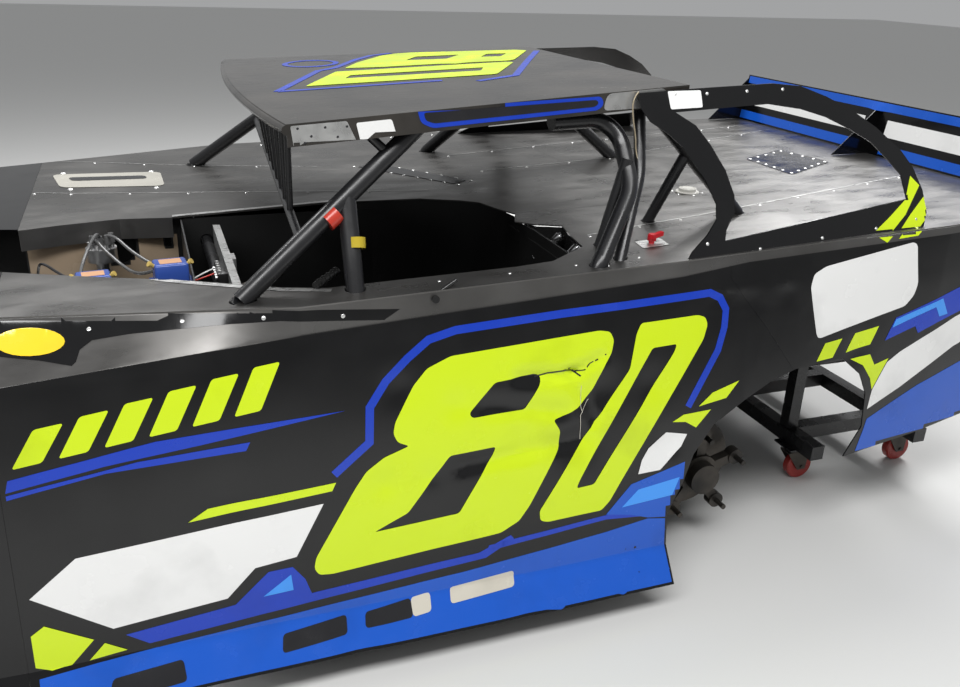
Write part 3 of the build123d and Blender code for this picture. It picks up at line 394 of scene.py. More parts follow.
shared_graphics = {
    # Name: outline, material and layer
    "sill_field": (
        [
            (500, 40), (-1100, 40), (-1100, 200), (-1070, 257), (-1010, 267), (-883, 251), (-483, 218),
            (-17, 193), (383, 174), (500, 166),
        ],
        field_blue,
        0.8,
    ),
    "upper_band": (
        [
            (317, 226), (77, 247), (-3, 313), (-59, 315), (-86, 279), (-99, 239), (-523, 262), (-610, 294),
            (-619, 283), (-541, 245), (270, 194),
        ],
        blue,
        0.8,
    ),
    "thin_band": (
        [(-550, 277), (-910, 301), (-960, 287), (-1001, 276), (-883, 287), (-545, 262)],
        blue,
        0.8,
    ),
    "rear_field": (
        [(-883, 301), (-957, 373), (-1120, 412), (-1110, 257), (-1010, 270), (-957, 287)],
        field_blue,
        1.0,
    ),
    "rear_light": ([(-930, 313), (-979, 355), (-1105, 371), (-1083, 323)], sky_blue, 1.6),
    "light_wedge": ([(13, 254), (-54, 297), (-57, 257)], sky_blue, 1.6),
    "lime_block": ([(505, 265), (477, 283), (383, 230), (433, 181), (474, 177), (505, 190)], lime, 1.6),
    "lime_wedge": ([(397, 183), (362, 217), (318, 190)], lime, 1.6),
    "white_panel": (
        [(497, 350), (397, 426), (-141, 459), (-70, 339), (26, 329), (93, 267), (341, 247)],
        white,
        1.2,
    ),
    "lime_bar": ([(161, 466), (117, 490), (-173, 506), (-163, 487)], lime, 1.2),
    "upper_sweep": (
        [(510, 593), (317, 622), (117, 641), (-203, 677), (23, 670), (210, 662), (503, 619)],
        blue,
        1.2,
    ),
    "lower_sweep": ([(510, 577), (317, 606), (23, 614), (13, 633), (250, 622), (510, 587)], blue, 1.2),
    "shard_high": ([(-1157, 563), (-1199, 595), (-1282, 618), (-1243, 575)], lime, 1.2),
    "shard_low": ([(-1077, 530), (-1110, 546), (-1195, 549), (-1150, 505), (-1117, 525)], lime, 1.2),
    "torn_patch": (
        [(-977, 399), (-987, 437), (-1006, 467), (-1059, 503), (-1123, 490), (-1107, 457), (-1043, 401)],
        white,
        1.6,
    ),
    "plain_label_1": ([(366, 101), (354, 141), (203, 150), (199, 110)], black, 1.6),
    "plain_label_2": ([(-17, 122), (-23, 157), (-177, 169), (-174, 131)], black, 1.6),
    "plain_label_3": ([(-219, 134), (-223, 166), (-339, 177), (-339, 139)], black, 1.6),
    "plain_label_4": ([(-339, 139), (-339, 177), (-390, 181), (-387, 143)], cream, 1.6),
    "plain_label_5": ([(-439, 149), (-443, 183), (-617, 195), (-614, 158)], cream, 1.6),
}
flash_places = (492, 402, 312, 222, 132, 42)
for word in ("left", "right"):
    tree = side_tree[word]
    for name, (outline, material, layer) in shared_graphics.items():
        if word == "left" or name != "torn_patch":
            corner = 8 if "label" in name else 0
            sticker(f"{name}_{word}", outline, material, word, tree, layer, corner=corner)
    # On the right the number starts at the other end, so that it reads the same way
    placed = (lambda loop: loop) if word == "left" else (lambda loop: [(-1290 - x, z) for x, z in loop])
    holes = [placed(eight_upper), placed(eight_lower)]
    sticker(f"number_8_{word}", placed(eight), lime, word, tree, 1.4, holes=holes, corner=7)
    sticker(f"number_0_{word}", placed(zero), lime, word, tree, 1.4, holes=[placed(zero_slot)], corner=7)
    sticker(f"number_border_{word}", placed(ribbon(border, 20)), blue, word, tree, 0.8)
    for i, x in enumerate(flash_places):
        low = 640 + (506 - x) * 0.12
        high = low + 78 + (506 - x) * 0.06
        slant = [(x, low), (x - 58, low + 7), (x - 108, high + 7), (x - 50, high)]
        sticker(f"lime_flash_{i + 1}_{word}", slant, lime, word, tree, 1.2, corner=6)

crease_marks = {
    # Name: line of points, material and width of each split or scratch in the vinyl
    "crease_mark_1": ([(-679, 698), (-714, 705), (-766, 706), (-788, 698), (-809, 684)], black, 4),
    "crease_mark_2": ([(-794, 695), (-819, 700), (-834, 717), (-856, 723)], black, 3),
    "crease_mark_3": ([(-811, 659), (-807, 606), (-812, 590)], cream, 1.3),
    "crease_mark_4": ([(-831, 622), (-806, 583), (-809, 516)], cream, 1.3),
}
for name, (line, material, width) in crease_marks.items():
    sticker(name, ribbon(line, width), material, "left", side_tree["left"], 2.0)

# Quarter graphics
# Plain vinyl on the quarter panels behind the door: a white shield left blank, lime and blue flashes,
# a pale band and a blue lower edge. A sky-blue patch on the blue flash is a painted sheen.
quarter_graphics = {
    "plain_shield": (
        [
            (-1508, 850), (-1516, 885), (-1555, 903), (-1865, 947), (-1880, 938), (-1906, 822),
            (-1898, 788), (-1870, 758), (-1555, 699), (-1545, 708),
        ],
        white,
        9,
    ),
    "quarter_bar_1": ([(-1553, 633), (-1580, 682), (-1642, 688), (-1612, 636)], lime, 0),
    "quarter_bar_2": ([(-1663, 643), (-1690, 697), (-1778, 708), (-1753, 656)], lime, 0),
    "quarter_lime_low": (
        [(-1685, 620), (-1758, 625), (-1780, 590), (-1835, 602), (-1783, 513), (-1770, 550), (-1735, 595)],
        lime,
        0,
    ),
    "quarter_blue": (
        [
            (-1810, 660), (-1842, 725), (-1910, 742), (-2085, 790), (-2240, 830), (-2250, 750),
            (-2015, 689), (-1942, 666), (-1926, 689),
        ],
        blue,
        0,
    ),
    "quarter_pale": (
        [
            (-1775, 452), (-1785, 510), (-1832, 590), (-1880, 616), (-2095, 697), (-2420, 790),
            (-2440, 700), (-2110, 600), (-1900, 500),
        ],
        white,
        0,
    ),
    "quarter_blue_low": (
        [(-1770, 385), (-1780, 420), (-1980, 495), (-2440, 620), (-2500, 560), (-2500, 360), (-1740, 300)],
        field_blue,
        0,
    ),
}
for word in ("left", "right"):
    for name, (outline, material, corner) in quarter_graphics.items():
        sticker(f"{name}_{word}", outline, material, word, side_tree[word], 0.9, corner=corner)
    # A sky-blue patch on the blue flash: a painted sheen, where the glossy blue catches the light.
    light = [(-1832, 697), (-1842, 720), (-2022, 764), (-2055, 712), (-2020, 708), (-1998, 740)]
    sticker(f"quarter_painted_sheen_{word}", light, sky_blue, word, side_tree[word], 1.7)

# Decks
# Flat aluminium sheets in satin dark anodising, lapped and riveted along seams that run back.
# Hands, boots and tools have left fine scratches. The bright strips along the laps are a painted highlight,
# standing for the lap edges catching the light.


def bump(material, surface, height, strength, distance):
    # A pattern felt as low waves or grain in the surface
    made = node(material, "ShaderNodeBump", Strength=strength, Distance=distance)
    link(material, height, made.inputs["Height"])
    link(material, made.outputs["Normal"], surface.inputs["Normal"])


deck_grey, surface = shader("dark_deck_sheet", (0.13, 0.127, 0.123), 0.34, metallic=0.85)
uneven_gloss(deck_grey, surface, noise(deck_grey, 6.0, 9.0, (1, 2.5, 1)), (0.35, 0.26), (0.75, 0.46))
stain = ramp(
    deck_grey,
    noise(deck_grey, 3.0, 6.0),
    [(0.3, (0.095, 0.092, 0.088)), (0.7, (0.165, 0.161, 0.156))],
)
link(deck_grey, stain, surface.inputs["Base Color"])
bump(deck_grey, surface, noise(deck_grey, 1.5, 3.0), 0.3, 0.012)
dress(deck_grey, "deck_left", "deck_right", "rear_deck", "deck_edge_left", "deck_edge_right")
# Bare metal for the dash, plates, strips and worn patches; laid along the deck seams it is a painted
# highlight of the lap edges.
bare_metal_and_lap_highlight, surface = shader("bare_worn_sheet_and_lap_highlight", (0.55, 0.55, 0.54), 0.34, metallic=0.9)
uneven_gloss(bare_metal_and_lap_highlight, surface, noise(bare_metal_and_lap_highlight, 30.0, 8.0, (1, 6, 1)), (0.3, 0.22), (0.8, 0.5))
bump(bare_metal_and_lap_highlight, surface, noise(bare_metal_and_lap_highlight, 60.0, 4.0), 0.15, 0.001)
rivet_metal, surface = shader("rivet_aluminium", (0.66, 0.66, 0.65), 0.32, metallic=0.8)
uneven_gloss(rivet_metal, surface, noise(rivet_metal, 90.0), (0.3, 0.22), (0.8, 0.45))


def tree_of(*names):
    # What a piece lies on, for the places where it touches
    joined = bmesh.new()
    for name in names:
        joined.from_mesh(nodes[name].data)
    tree = BVHTree.FromBMesh(joined)
    joined.free()
    return tree


def rivets(name, places, facing, tree, radius=5, material=rivet_metal, height=0.45):
    # Low domed heads in a row or ring, each seated on the sheet under it
    shape = bmesh.new()
    way = facings[facing]
    for u, v in places:
        start = (u * mm, v * mm, ray_start) if facing == "top" else (u * mm, -ray_start * way.y, v * mm)
        place, normal, _, _ = tree.ray_cast(Vector(start), way)
        if place is None:
            continue
        outward = normal if normal.dot(way) < 0 else -normal
        turn = outward.to_track_quat("Z", "Y").to_matrix().to_4x4()
        dome = Matrix.Translation(place) @ turn @ Matrix.Diagonal((1, 1, height, 1))
        bmesh.ops.create_uvsphere(shape, u_segments=12, v_segments=8, radius=radius * mm, matrix=dome)
    piece(name, shape, material)


def along(points, gap):
    # Places at even gaps along a line of points
    out = []
    for start, end in zip(points, points[1:]):
        way = Vector(end) - Vector(start)
        steps = max(1, round(way.length / gap))
        out += [tuple(Vector(start) + way * (i / steps)) for i in range(steps)]
    return out


def ring(outline, gap, inset=0.88):
    # Places round a closed outline, a little inside it
    middle = sum((Vector(p) for p in outline), Vector((0, 0))) / len(outline)
    shrunk = [tuple(middle + (Vector(p) - middle) * inset) for p in outline]
    return along(shrunk + shrunk[:1], gap)


decks = tree_of("deck_left", "deck_right", "rear_deck", "deck_edge_left", "deck_edge_right")
seams = {
    "seam_left_rear": [(-965, 672), (-1141, 635), (-1448, 577), (-2320, 376), (-2480, 345)],
    "seam_middle_rear": [(-960, -180), (-1500, -235), (-2067, -429), (-2480, -560)],
    "seam_right_rear": [(-930, -470), (-1500, -565), (-2169, -645), (-2480, -690)],
    "seam_right_front": [(510, -330), (400, -285), (-130, -130), (-700, 40)],
    "seam_right_outer": [(510, -842), (0, -590), (-420, -430)],
}
# Each seam gets a thin strip of bright bare sheet, a painted highlight of the lap edge, with rivets beside
# it.
for name, line in seams.items():
    sticker(name, ribbon(line, 4), bare_metal_and_lap_highlight, "top", decks, 1.0)
    beside = [(x, y + 14) for x, y in line]
    rivets(f"{name}_rivets", along(beside, 190), "top", decks, 4.5)
edge_rivets = [(x, 905 - abs(x + 600) * 0.02) for x in (-1000, -820, -640, -460, -280)]
rivets("deck_edge_rivets", edge_rivets + [(x, -y) for x, y in edge_rivets], "top", decks, 4.5)
rear_cover = [(-1991, -52), (-2229, -155), (-2266, 96), (-1988, 233)]
sticker("rear_cover", rear_cover, black, "top", decks, 1.6, corner=22)
rivets("rear_cover_rivets", ring(rear_cover, 52), "top", decks, 7)
front_cover = [(474, -588), (120, -519), (113, -297), (437, -376)]
pale_cover = vinyl("pale_cover_paint", (0.40, 0.385, 0.34), 0.5)
sticker("front_cover", front_cover, pale_cover, "top", decks, 1.6, corner=30)
sticker(
    "front_cover_slot",
    [(420, -520), (170, -470), (165, -420), (405, -462)],
    black,
    "top",
    decks,
    2.6,
    corner=18,
)
rivets("front_cover_rivets", [(440, -600), (150, -535), (405, -345), (140, -280)], "top", decks, 9)
dark_plate = [(-556, -380), (-630, -409), (-867, -60), (-809, -18)]
sticker("dark_plate", dark_plate, black, "top", decks, 1.6, corner=10)
rivets("dark_plate_rivets", ring(dark_plate, 62, 1.06), "top", decks, 6)

# Deck rim
# Gloss black wrap runs along the deck's sloping rim under a row of washers, with a blank yellow oval at
# its front end. Bare folded strips edge the opening.
yellow = vinyl("yellow_label_vinyl", (0.72, 0.50, 0.02))
rim_band = [
    (505, 903), (374, 906), (253, 913), (131, 917), (7, 921), (-162, 914), (-345, 899), (-307, 877),
    (-183, 887), (-74, 895), (31, 892), (135, 886), (237, 880), (313, 872), (338, 859), (347, 842),
    (355, 837), (415, 846), (505, 854),
]
oval = [(434 + 68 * math.cos(i / 12 * math.pi), 871 + 19 * math.sin(i / 12 * math.pi)) for i in range(24)]
for word in ("left", "right"):
    rim = tree_of(f"deck_edge_{word}")
    sticker(f"rim_band_{word}", rim_band, gloss_black, word, rim, 0.7, step=12)
    sticker(f"rim_oval_{word}", oval, yellow, word, rim, 1.5, step=12)
    rivets(
        f"rim_washers_{word}",
        [(318, 888), (129, 899), (-40, 902), (-213, 895)],
        word,
        rim,
        5.5,
        height=0.3,
    )
rim_strips = {
    "strip_near": [(180, 668), (114, 714), (-95, 841), (-205, 884)],
    "strip_far": [(109, 100), (-361, 76)],
}
for name, line in rim_strips.items():
    sticker(name, ribbon(line, 18), bare_metal_and_lap_highlight, "top", decks, 1.4)

# Fuel cap and switch
# The fuel cap is a turned aluminium screw cap in a riveted ring on the rear deck. In front of it a red
# knob stands on a small bare plate, where the battery is switched off from outside.


def turned(shape, profile, place):
    # A turned piece from its half profile of (radius, height), stood upright on a place
    line = [shape.verts.new((radius * mm, 0, height * mm)) for radius, height in profile]
    edges = [shape.edges.new(pair) for pair in zip(line, line[1:])]
    bmesh.ops.spin(
        shape,
        geom=line + edges,
        cent=(0, 0, 0),
        axis=(0, 0, 1),
        dvec=(0, 0, 0),
        angle=math.tau,
        steps=32,
        use_merge=True,
    )
    bmesh.ops.translate(shape, vec=Vector(place) * mm, verts=shape.verts[:])
    bmesh.ops.remove_doubles(shape, verts=shape.verts[:], dist=0.00002)
    bmesh.ops.recalc_face_normals(shape, faces=shape.faces[:])


def box(shape, place, size):
    # A box of a size in metres, about a place
    bmesh.ops.create_cube(shape, size=1, matrix=place @ Matrix.Diagonal((*size, 1)))


def deck_top(x):
    # The height of the deck, which rises a little to the rear
    return 921 - 0.03 * x


cap_metal = vinyl("fuel_cap_metal", (0.55, 0.54, 0.50), 0.3)
shape = bmesh.new()
cap_profile = [(0, 14), (18, 14), (20, 11), (23, 11), (24, 13), (28, 13), (29, 4), (38, 3), (39, 0), (0, 0)]
cap_x = -1497
cap_y = 330
turned(shape, cap_profile, (cap_x, cap_y, deck_top(cap_x) + 0.4))
piece("fuel_cap", shape, cap_metal)
cap_ring = [(cap_x + 48 * math.cos(a), cap_y + 48 * math.sin(a)) for a in (0.4, 1.45, 2.5, 3.54, 4.6, 5.65)]
rivets("fuel_cap_rivets", cap_ring, "top", decks, 4)
sticker(
    "switch_plate",
    [(-1058, 772), (-1140, 764), (-1132, 826), (-1050, 832)],
    bare_metal_and_lap_highlight,
    "top",
    decks,
    1.6,
    corner=5,
)
rivets("switch_plate_rivets", [(-1064, 780), (-1132, 772), (-1126, 818), (-1057, 824)], "top", decks, 4)
red_knob = vinyl("red_knob_plastic", (0.50, 0.012, 0.02), 0.3)
shape = bmesh.new()
knob_x = -1094
knob_profile = [(0, 26), (9, 26), (12, 22), (12, 8), (8, 6), (8, 0), (0, 0)]
turned(shape, knob_profile, (knob_x, 798, deck_top(knob_x) + 1.4))
lever_spot = Vector((-1.106, 0.802, (deck_top(knob_x) + 24) * mm))
lever_place = Matrix.Translation(lever_spot) @ Matrix.Rotation(0.5, 4, "Z")
box(shape, lever_place, (0.052, 0.012, 0.011))
piece("switch_knob", shape, red_knob)

# Roof
# A crowned aluminium sheet with turned-down flanges, wrapped gloss black. The number is laid on top to be
# read from the front, the flange carries blank labels, and its corners are worn to bare metal.
scuffed_gloss, surface = shader("scuffed_roof_wrap", (0.022, 0.020, 0.018), 0.14)
scratches = noise(scuffed_gloss, 16.0, 10.0, (1, 9, 1))
uneven_gloss(scuffed_gloss, surface, scratches, (0.4, 0.08), (0.75, 0.3))
dusty = [(0.35, (0.014, 0.013, 0.012)), (0.75, (0.045, 0.040, 0.034))]
link(
    scuffed_gloss,
    ramp(scuffed_gloss, noise(scuffed_gloss, 5.0, 9.0), dusty),
    surface.inputs["Base Color"],
)
bump(scuffed_gloss, surface, noise(scuffed_gloss, 2.2, 2.0), 0.2, 0.01)
dress(scuffed_gloss, "roof_panel")
roof = tree_of("roof_panel")
roof_zero = [(-267, 282), (-407, 12), (-960, 22), (-978, 40), (-831, 278), (-815, 284)]
roof_slot = [(-400, 176), (-430, 112), (-845, 122), (-812, 190)]
roof_eight = [
    (-450, -62), (-520, -190), (-640, -345), (-700, -385), (-760, -392), (-1120, -300), (-1150, -262),
    (-1010, -30), (-980, -8), (-842, -20), (-800, -8), (-752, -30), (-559, -36),
]
roof_holes = [
    [(-680, -175), (-740, -262), (-890, -245), (-815, -150)],
    [(-935, -150), (-985, -225), (-1052, -208), (-1000, -132)],
]
sticker("roof_number_0", roof_zero, lime, "top", roof, 1.4, holes=[roof_slot], corner=8)
sticker("roof_number_8", roof_eight, lime, "top", roof, 1.4, holes=roof_holes, corner=8)
roof_blue = [
    [(-181, 345), (-363, -40), (-425, -90), (-530, -270), (-610, -375), (-690, -415)],
    [(-181, 345), (-589, 338), (-640, 338)],
    [(-730, 392), (-868, 330), (-1030, 30), (-1180, -240)],
]
for i, line in enumerate(roof_blue):
    sticker(f"roof_blue_line_{i + 1}", ribbon(line, 22), blue, "top", roof, 0.9)
angles = [i / 12 * math.pi for i in range(24)]
ring_x = -375
ring_y = -240
circle = [(ring_x + 92 * math.cos(a), ring_y + 96 * math.sin(a)) for a in angles]
inner_circle = [(ring_x + (x - ring_x) * 0.8, ring_y + (y - ring_y) * 0.8) for x, y in circle]
sticker("roof_blue_ring", circle, blue, "top", roof, 0.9, holes=[inner_circle])
for word in ("left", "right"):
    label = [(-430, 1322), (-440, 1290), (-470, 1277), (-925, 1302), (-942, 1316), (-932, 1336)]
    sticker(f"flange_label_{word}", label, blue, word, roof, 0.9, corner=9)
    inside = [(-446, 1313), (-452, 1295), (-474, 1288), (-915, 1311), (-926, 1320), (-918, 1328)]
    sticker(f"flange_label_face_{word}", inside, black, word, roof, 1.5, corner=6)
    sticker(
        f"flange_sticker_{word}",
        [(-283, 1297), (-368, 1302), (-382, 1258), (-294, 1251)],
        white,
        word,
        roof,
        1.3,
        corner=5,
    )
    sticker(
        f"flange_bare_front_{word}",
        [(-134, 1296), (-262, 1302), (-284, 1256), (-140, 1249)],
        bare_metal_and_lap_highlight,
        word,
        roof,
        0.7,
        corner=4,
    )
    sticker(
        f"flange_bare_rear_{word}",
        [(-950, 1342), (-1130, 1352), (-1150, 1310), (-1080, 1303), (-940, 1300)],
        bare_metal_and_lap_highlight,
        word,
        roof,
        0.7,
        corner=14,
    )
    screws = [(-150, 1290), (-180, 1272), (-212, 1290), (-240, 1268), (-165, 1258), (-262, 1290)]
    rivets(f"flange_screws_{word}", screws, word, roof, 3.5, black)

# Sail panels
# Flat aluminium sheets cut to a hoop and wrapped black, riveted to the roof's flange and along the deck's
# rim. Two lime flashes run down the rear leg on to the rim.
for word in ("left", "right"):
    sail = tree_of(f"sail_{word}")
    spots = [(-1150, 1338), (-1250, 1338), (-1380, 1342), (-1500, 1345)]
    spots += [(-1180, 985), (-1343, 962), (-1554, 974), (-1748, 985), (-1900, 1000)]
    rivets(f"sail_rivets_{word}", spots, word, sail, 5)
    sticker(
        f"sail_sticker_{word}",
        [(-1128, 1345), (-1231, 1346), (-1229, 1305), (-1130, 1302)],
        white,
        word,
        sail,
        1.2,
        corner=4,
    )
    leg = tree_of(f"sail_{word}", f"deck_edge_{word}")
    flash = [
        (-1905, 1112), (-1933, 1086), (-1862, 1013), (-1768, 951), (-1730, 972), (-1800, 1009),
        (-1872, 1052),
    ]
    sticker(f"sail_flash_1_{word}", flash, lime, word, leg, 1.2, step=7)
    flash = [(-1942, 1056), (-1946, 1005), (-1884, 962), (-1812, 958), (-1880, 1012)]
    sticker(f"sail_flash_2_{word}", flash, lime, word, leg, 1.2, step=7)

# Spoiler
# An aluminium blade folded up across the tail and wrapped black. Blue bands follow its two edges, with a
# plain pale band between them.
spoiler_way = Vector((-1, 0, 0))
blade = tree_of("spoiler")
blade_lift = Vector((0.0012, 0, 0))
blade_front = -2.49
blade_step = 0.03
bands = {
    "spoiler_blue_low": ([(-850, 1004), (850, 1004), (850, 1040), (-850, 1040)], field_blue),
    "spoiler_blue_high": ([(-850, 1162), (850, 1162), (850, 1192), (-850, 1192)], field_blue),
    "spoiler_pale_band": ([(-780, 1070), (780, 1070), (780, 1132), (-780, 1132)], white),
}
for name, (outline, material) in bands.items():
    shape = bmesh.new()
    shape.faces.new([shape.verts.new((ray_start, y * mm, z * mm)) for y, z in outline])
    cut_every(shape, 1, 60, -850, 850)
    for vert in shape.verts:
        place, _, _, _ = blade.ray_cast(vert.co, spoiler_way)
        vert.co = (place or vert.co) + blade_lift
    off_blade = []
    for face in shape.faces:
        reach = [vert.co.x for vert in face.verts]
        if max(reach) > blade_front or max(reach) - min(reach) > blade_step:
            off_blade.append(face)
    bmesh.ops.delete(shape, geom=off_blade, context="FACES")
    give_thickness(shape, spoiler_way)
    piece(name, shape, material)

# Frame and cage
# Round steel tube, bent on a mandrel, coped and welded, in black powder coat that is scuffed at the feet.
# Coloured tape is wound round the left pillar and the post beside it.
black_tube, surface = shader("black_powder_coat", (0.010, 0.010, 0.011), 0.3)
uneven_gloss(black_tube, surface, noise(black_tube, 12.0, 8.0), (0.35, 0.22), (0.8, 0.42))
bump(black_tube, surface, noise(black_tube, 220.0, 2.0), 0.06, 0.0006)
dress(
    black_tube,
    "chassis_frame",
    "cage_halo",
    "cage_legs",
    "rock_screen",
    "front_arms_left",
    "front_arms_right",
)
dress(black_tube, "rear_links", "fuel_cell", "rear_stand")


def bar(shape, start, end, radius, end_radius=None):
    # A round bar between two places, in millimetres
    start, end = Vector(start) * mm, Vector(end) * mm
    way = end - start
    place = Matrix.Translation((start + end) / 2) @ way.to_track_quat("Z", "Y").to_matrix().to_4x4()
    wide = radius if end_radius is None else end_radius
    bmesh.ops.create_cone(
        shape,
        cap_ends=True,
        segments=24,
        radius1=radius * mm,
        radius2=wide * mm,
        depth=way.length,
        matrix=place,
    )


red_tape = vinyl("red_tape", (0.42, 0.035, 0.02), 0.4)
amber_tape = vinyl("amber_tape", (0.40, 0.30, 0.02), 0.4)
tapes = {
    # Name: foot and top of the tube, where the tape starts and ends along it, and the tape
    "pillar_band": (Vector((0, 888, 921)), Vector((-475, 761, 1269)), 0.44, 0.495, red_tape),
    "post_band": (Vector((-258, 932, 839)), Vector((-278, 814, 1125)), 0.62, 0.70, amber_tape),
}
for name, (foot, top, low, high, tape) in tapes.items():
    shape = bmesh.new()
    bar(shape, foot + (top - foot) * low, foot + (top - foot) * high, 22.5)
    piece(name, shape, tape)

# Cockpit
# Black sheets round the driver, pop-riveted to the frame, with a bare gusset low on the right wall. Behind
# the opening a black tray carries two chromed cylinders and their lines.
cockpit_black, surface = shader("black_cockpit_sheet", (0.008, 0.008, 0.008), 0.42)
uneven_gloss(cockpit_black, surface, noise(cockpit_black, 4.0, 7.0), (0.35, 0.32), (0.8, 0.6))
dress(cockpit_black, "cockpit_panels")
panels = tree_of("cockpit_panels")
tan_sheet = vinyl("tan_primer_sheet", (0.26, 0.20, 0.14), 0.5)
sticker(
    "bare_gusset",
    [(-642, 612), (-834, 741), (-848, 592)],
    tan_sheet,
    "left",
    panels,
    0.8,
)
spots = [(-651, 815), (-274, 735), (-843, 771), (-487, 803), (-732, 703), (-560, 640), (-380, 640)]
rivets("cockpit_rivets", spots, "left", panels, 5)
tray_black = vinyl("tray_black", (0.010, 0.010, 0.010), 0.4)
shape = bmesh.new()
tray_floor = 0.838
black_sheet_thickness = 0.0015
under_deck = 6
rim = [(-855, 480), (-874, 524), (-944, 560), (-926, 652), (-912, 766), (-855, 806)]
floor_face = shape.faces.new([shape.verts.new((x * mm, y * mm, tray_floor)) for x, y in rim])
for vert in added(bmesh.ops.extrude_edge_only(shape, edges=floor_face.edges[:])):
    vert.co.z = (deck_top(vert.co.x / mm) - under_deck) * mm
bmesh.ops.recalc_face_normals(shape, faces=shape.faces[:])
bmesh.ops.solidify(shape, geom=shape.faces[:], thickness=black_sheet_thickness)
piece("rear_tray", shape, tray_black)
shape = bmesh.new()
skirt_depth = 0.30
skirt = [
    (-361, 86), (-645, 122), (-765, 186), (-818, 234), (-845, 338), (-858, 430), (-846, 486), (-853, 560),
    (-853, 800),
]
line = [shape.verts.new((x * mm, y * mm, (deck_top(x) - under_deck) * mm)) for x, y in skirt]
edges = [shape.edges.new(pair) for pair in zip(line, line[1:])]
for vert in added(bmesh.ops.extrude_edge_only(shape, edges=edges)):
    vert.co.z -= skirt_depth
bmesh.ops.recalc_face_normals(shape, faces=shape.faces[:])
bmesh.ops.solidify(shape, geom=shape.faces[:], thickness=black_sheet_thickness)
piece("cockpit_skirt", shape, cockpit_black)
chrome, surface = shader("cylinder_chrome", (0.72, 0.72, 0.73), 0.14, metallic=1.0)
uneven_gloss(chrome, surface, noise(chrome, 60.0), (0.3, 0.10), (0.8, 0.3))
shape = bmesh.new()
for y in (575, 690):
    bar(shape, (-868, y, 862), (-918, y + 22, 930), 15)
    bar(shape, (-862, y - 4, 856), (-870, y, 866), 19)
    bar(shape, (-918, y + 22, 930), (-922, y + 24, 935), 9)
piece("tray_cylinders", shape, chrome)
shape = bmesh.new()
for y in (530, 620, 640, 735):
    bar(shape, (-862, y, 850), (-905, y + 20, 905), 8)
    bar(shape, (-862, y - 12, 866), (-862, y + 30, 866), 6)
piece("tray_fittings", shape, black_tube)

# Small fittings
# A black terminal block is screwed to the dash, with a metal screw for each wire. A ribbed plug hangs at
# the foot of the pillar, and a pin holds the sill.


def round_edges(shape, offset, segments):
    # Rounds all edges of what has been made so far
    bmesh.ops.bevel(
        shape,
        geom=shape.edges[:],
        offset=offset,
        segments=segments,
        profile=0.5,
        affect="EDGES",
        material=-1,
    )


shape = bmesh.new()
box(shape, Matrix.Translation((0.013, 0.545, 0.868)), (0.026, 0.11, 0.052))
round_edges(shape, 0.003, 2)
piece("terminal_block", shape, cockpit_black)
shape = bmesh.new()
for y in (506, 526, 546, 566, 586):
    bar(shape, (20, y, 893), (20, y, 899), 4.5)
    bar(shape, (25, y, 880), (31, y, 880), 4)
piece("terminal_screws", shape, rivet_metal)
plug_foot = Vector((-172, 862, 934))
plug_head = Vector((-236, 800, 946))
shape = bmesh.new()
bar(shape, plug_foot, plug_head, 9)
for share in (0.15, 0.35, 0.55, 0.75, 0.92):
    bar(shape, plug_foot.lerp(plug_head, share), plug_foot.lerp(plug_head, share + 0.06), 11)
piece("brace_plug", shape, tray_black)
shape = bmesh.new()
bar(shape, (-425, 960, 918), (-486, 952, 952), 5)
bar(shape, (-430, 958, 914), (-430, 974, 916), 9)
piece("sill_pin", shape, tray_black)

# Metal of the running gear
# Cast, machined and bare metals of the engine, axle, hubs and casters, greasy or dusty from the track.
# The CAD pieces keep their shapes and only get their finish here.
bare_aluminium, surface = shader("bare_aluminium", (0.50, 0.50, 0.50), 0.36, metallic=1.0)
uneven_gloss(bare_aluminium, surface, noise(bare_aluminium, 25.0, 8.0), (0.3, 0.25), (0.8, 0.5))
dress(bare_aluminium, "engine_top", "radiator", "rack_housing", "rear_dampers", "rim_left", "rim_right")
dress(bare_metal_and_lap_highlight, "dash")
dark_steel, surface = shader("dark_steel", (0.055, 0.052, 0.05), 0.5, metallic=0.8)
uneven_gloss(dark_steel, surface, noise(dark_steel, 18.0, 8.0), (0.3, 0.3), (0.8, 0.65))
dusty = [(0.35, (0.03, 0.029, 0.028)), (0.7, (0.10, 0.088, 0.075))]
link(dark_steel, ramp(dark_steel, noise(dark_steel, 8.0, 8.0), dusty), surface.inputs["Base Color"])
bump(dark_steel, surface, noise(dark_steel, 90.0, 3.0), 0.2, 0.001)
dress(dark_steel, "engine_block", "rear_axle", "rear_calipers", "rear_hub_left", "rear_hub_right")
dress(dark_steel, "knuckle_left", "knuckle_right", "front_hub_left", "front_hub_right", "steering_rack")
dress(dark_steel, "steering_column", "caster_yoke_1", "caster_yoke_2", "caster_yoke_3", "caster_yoke_4")

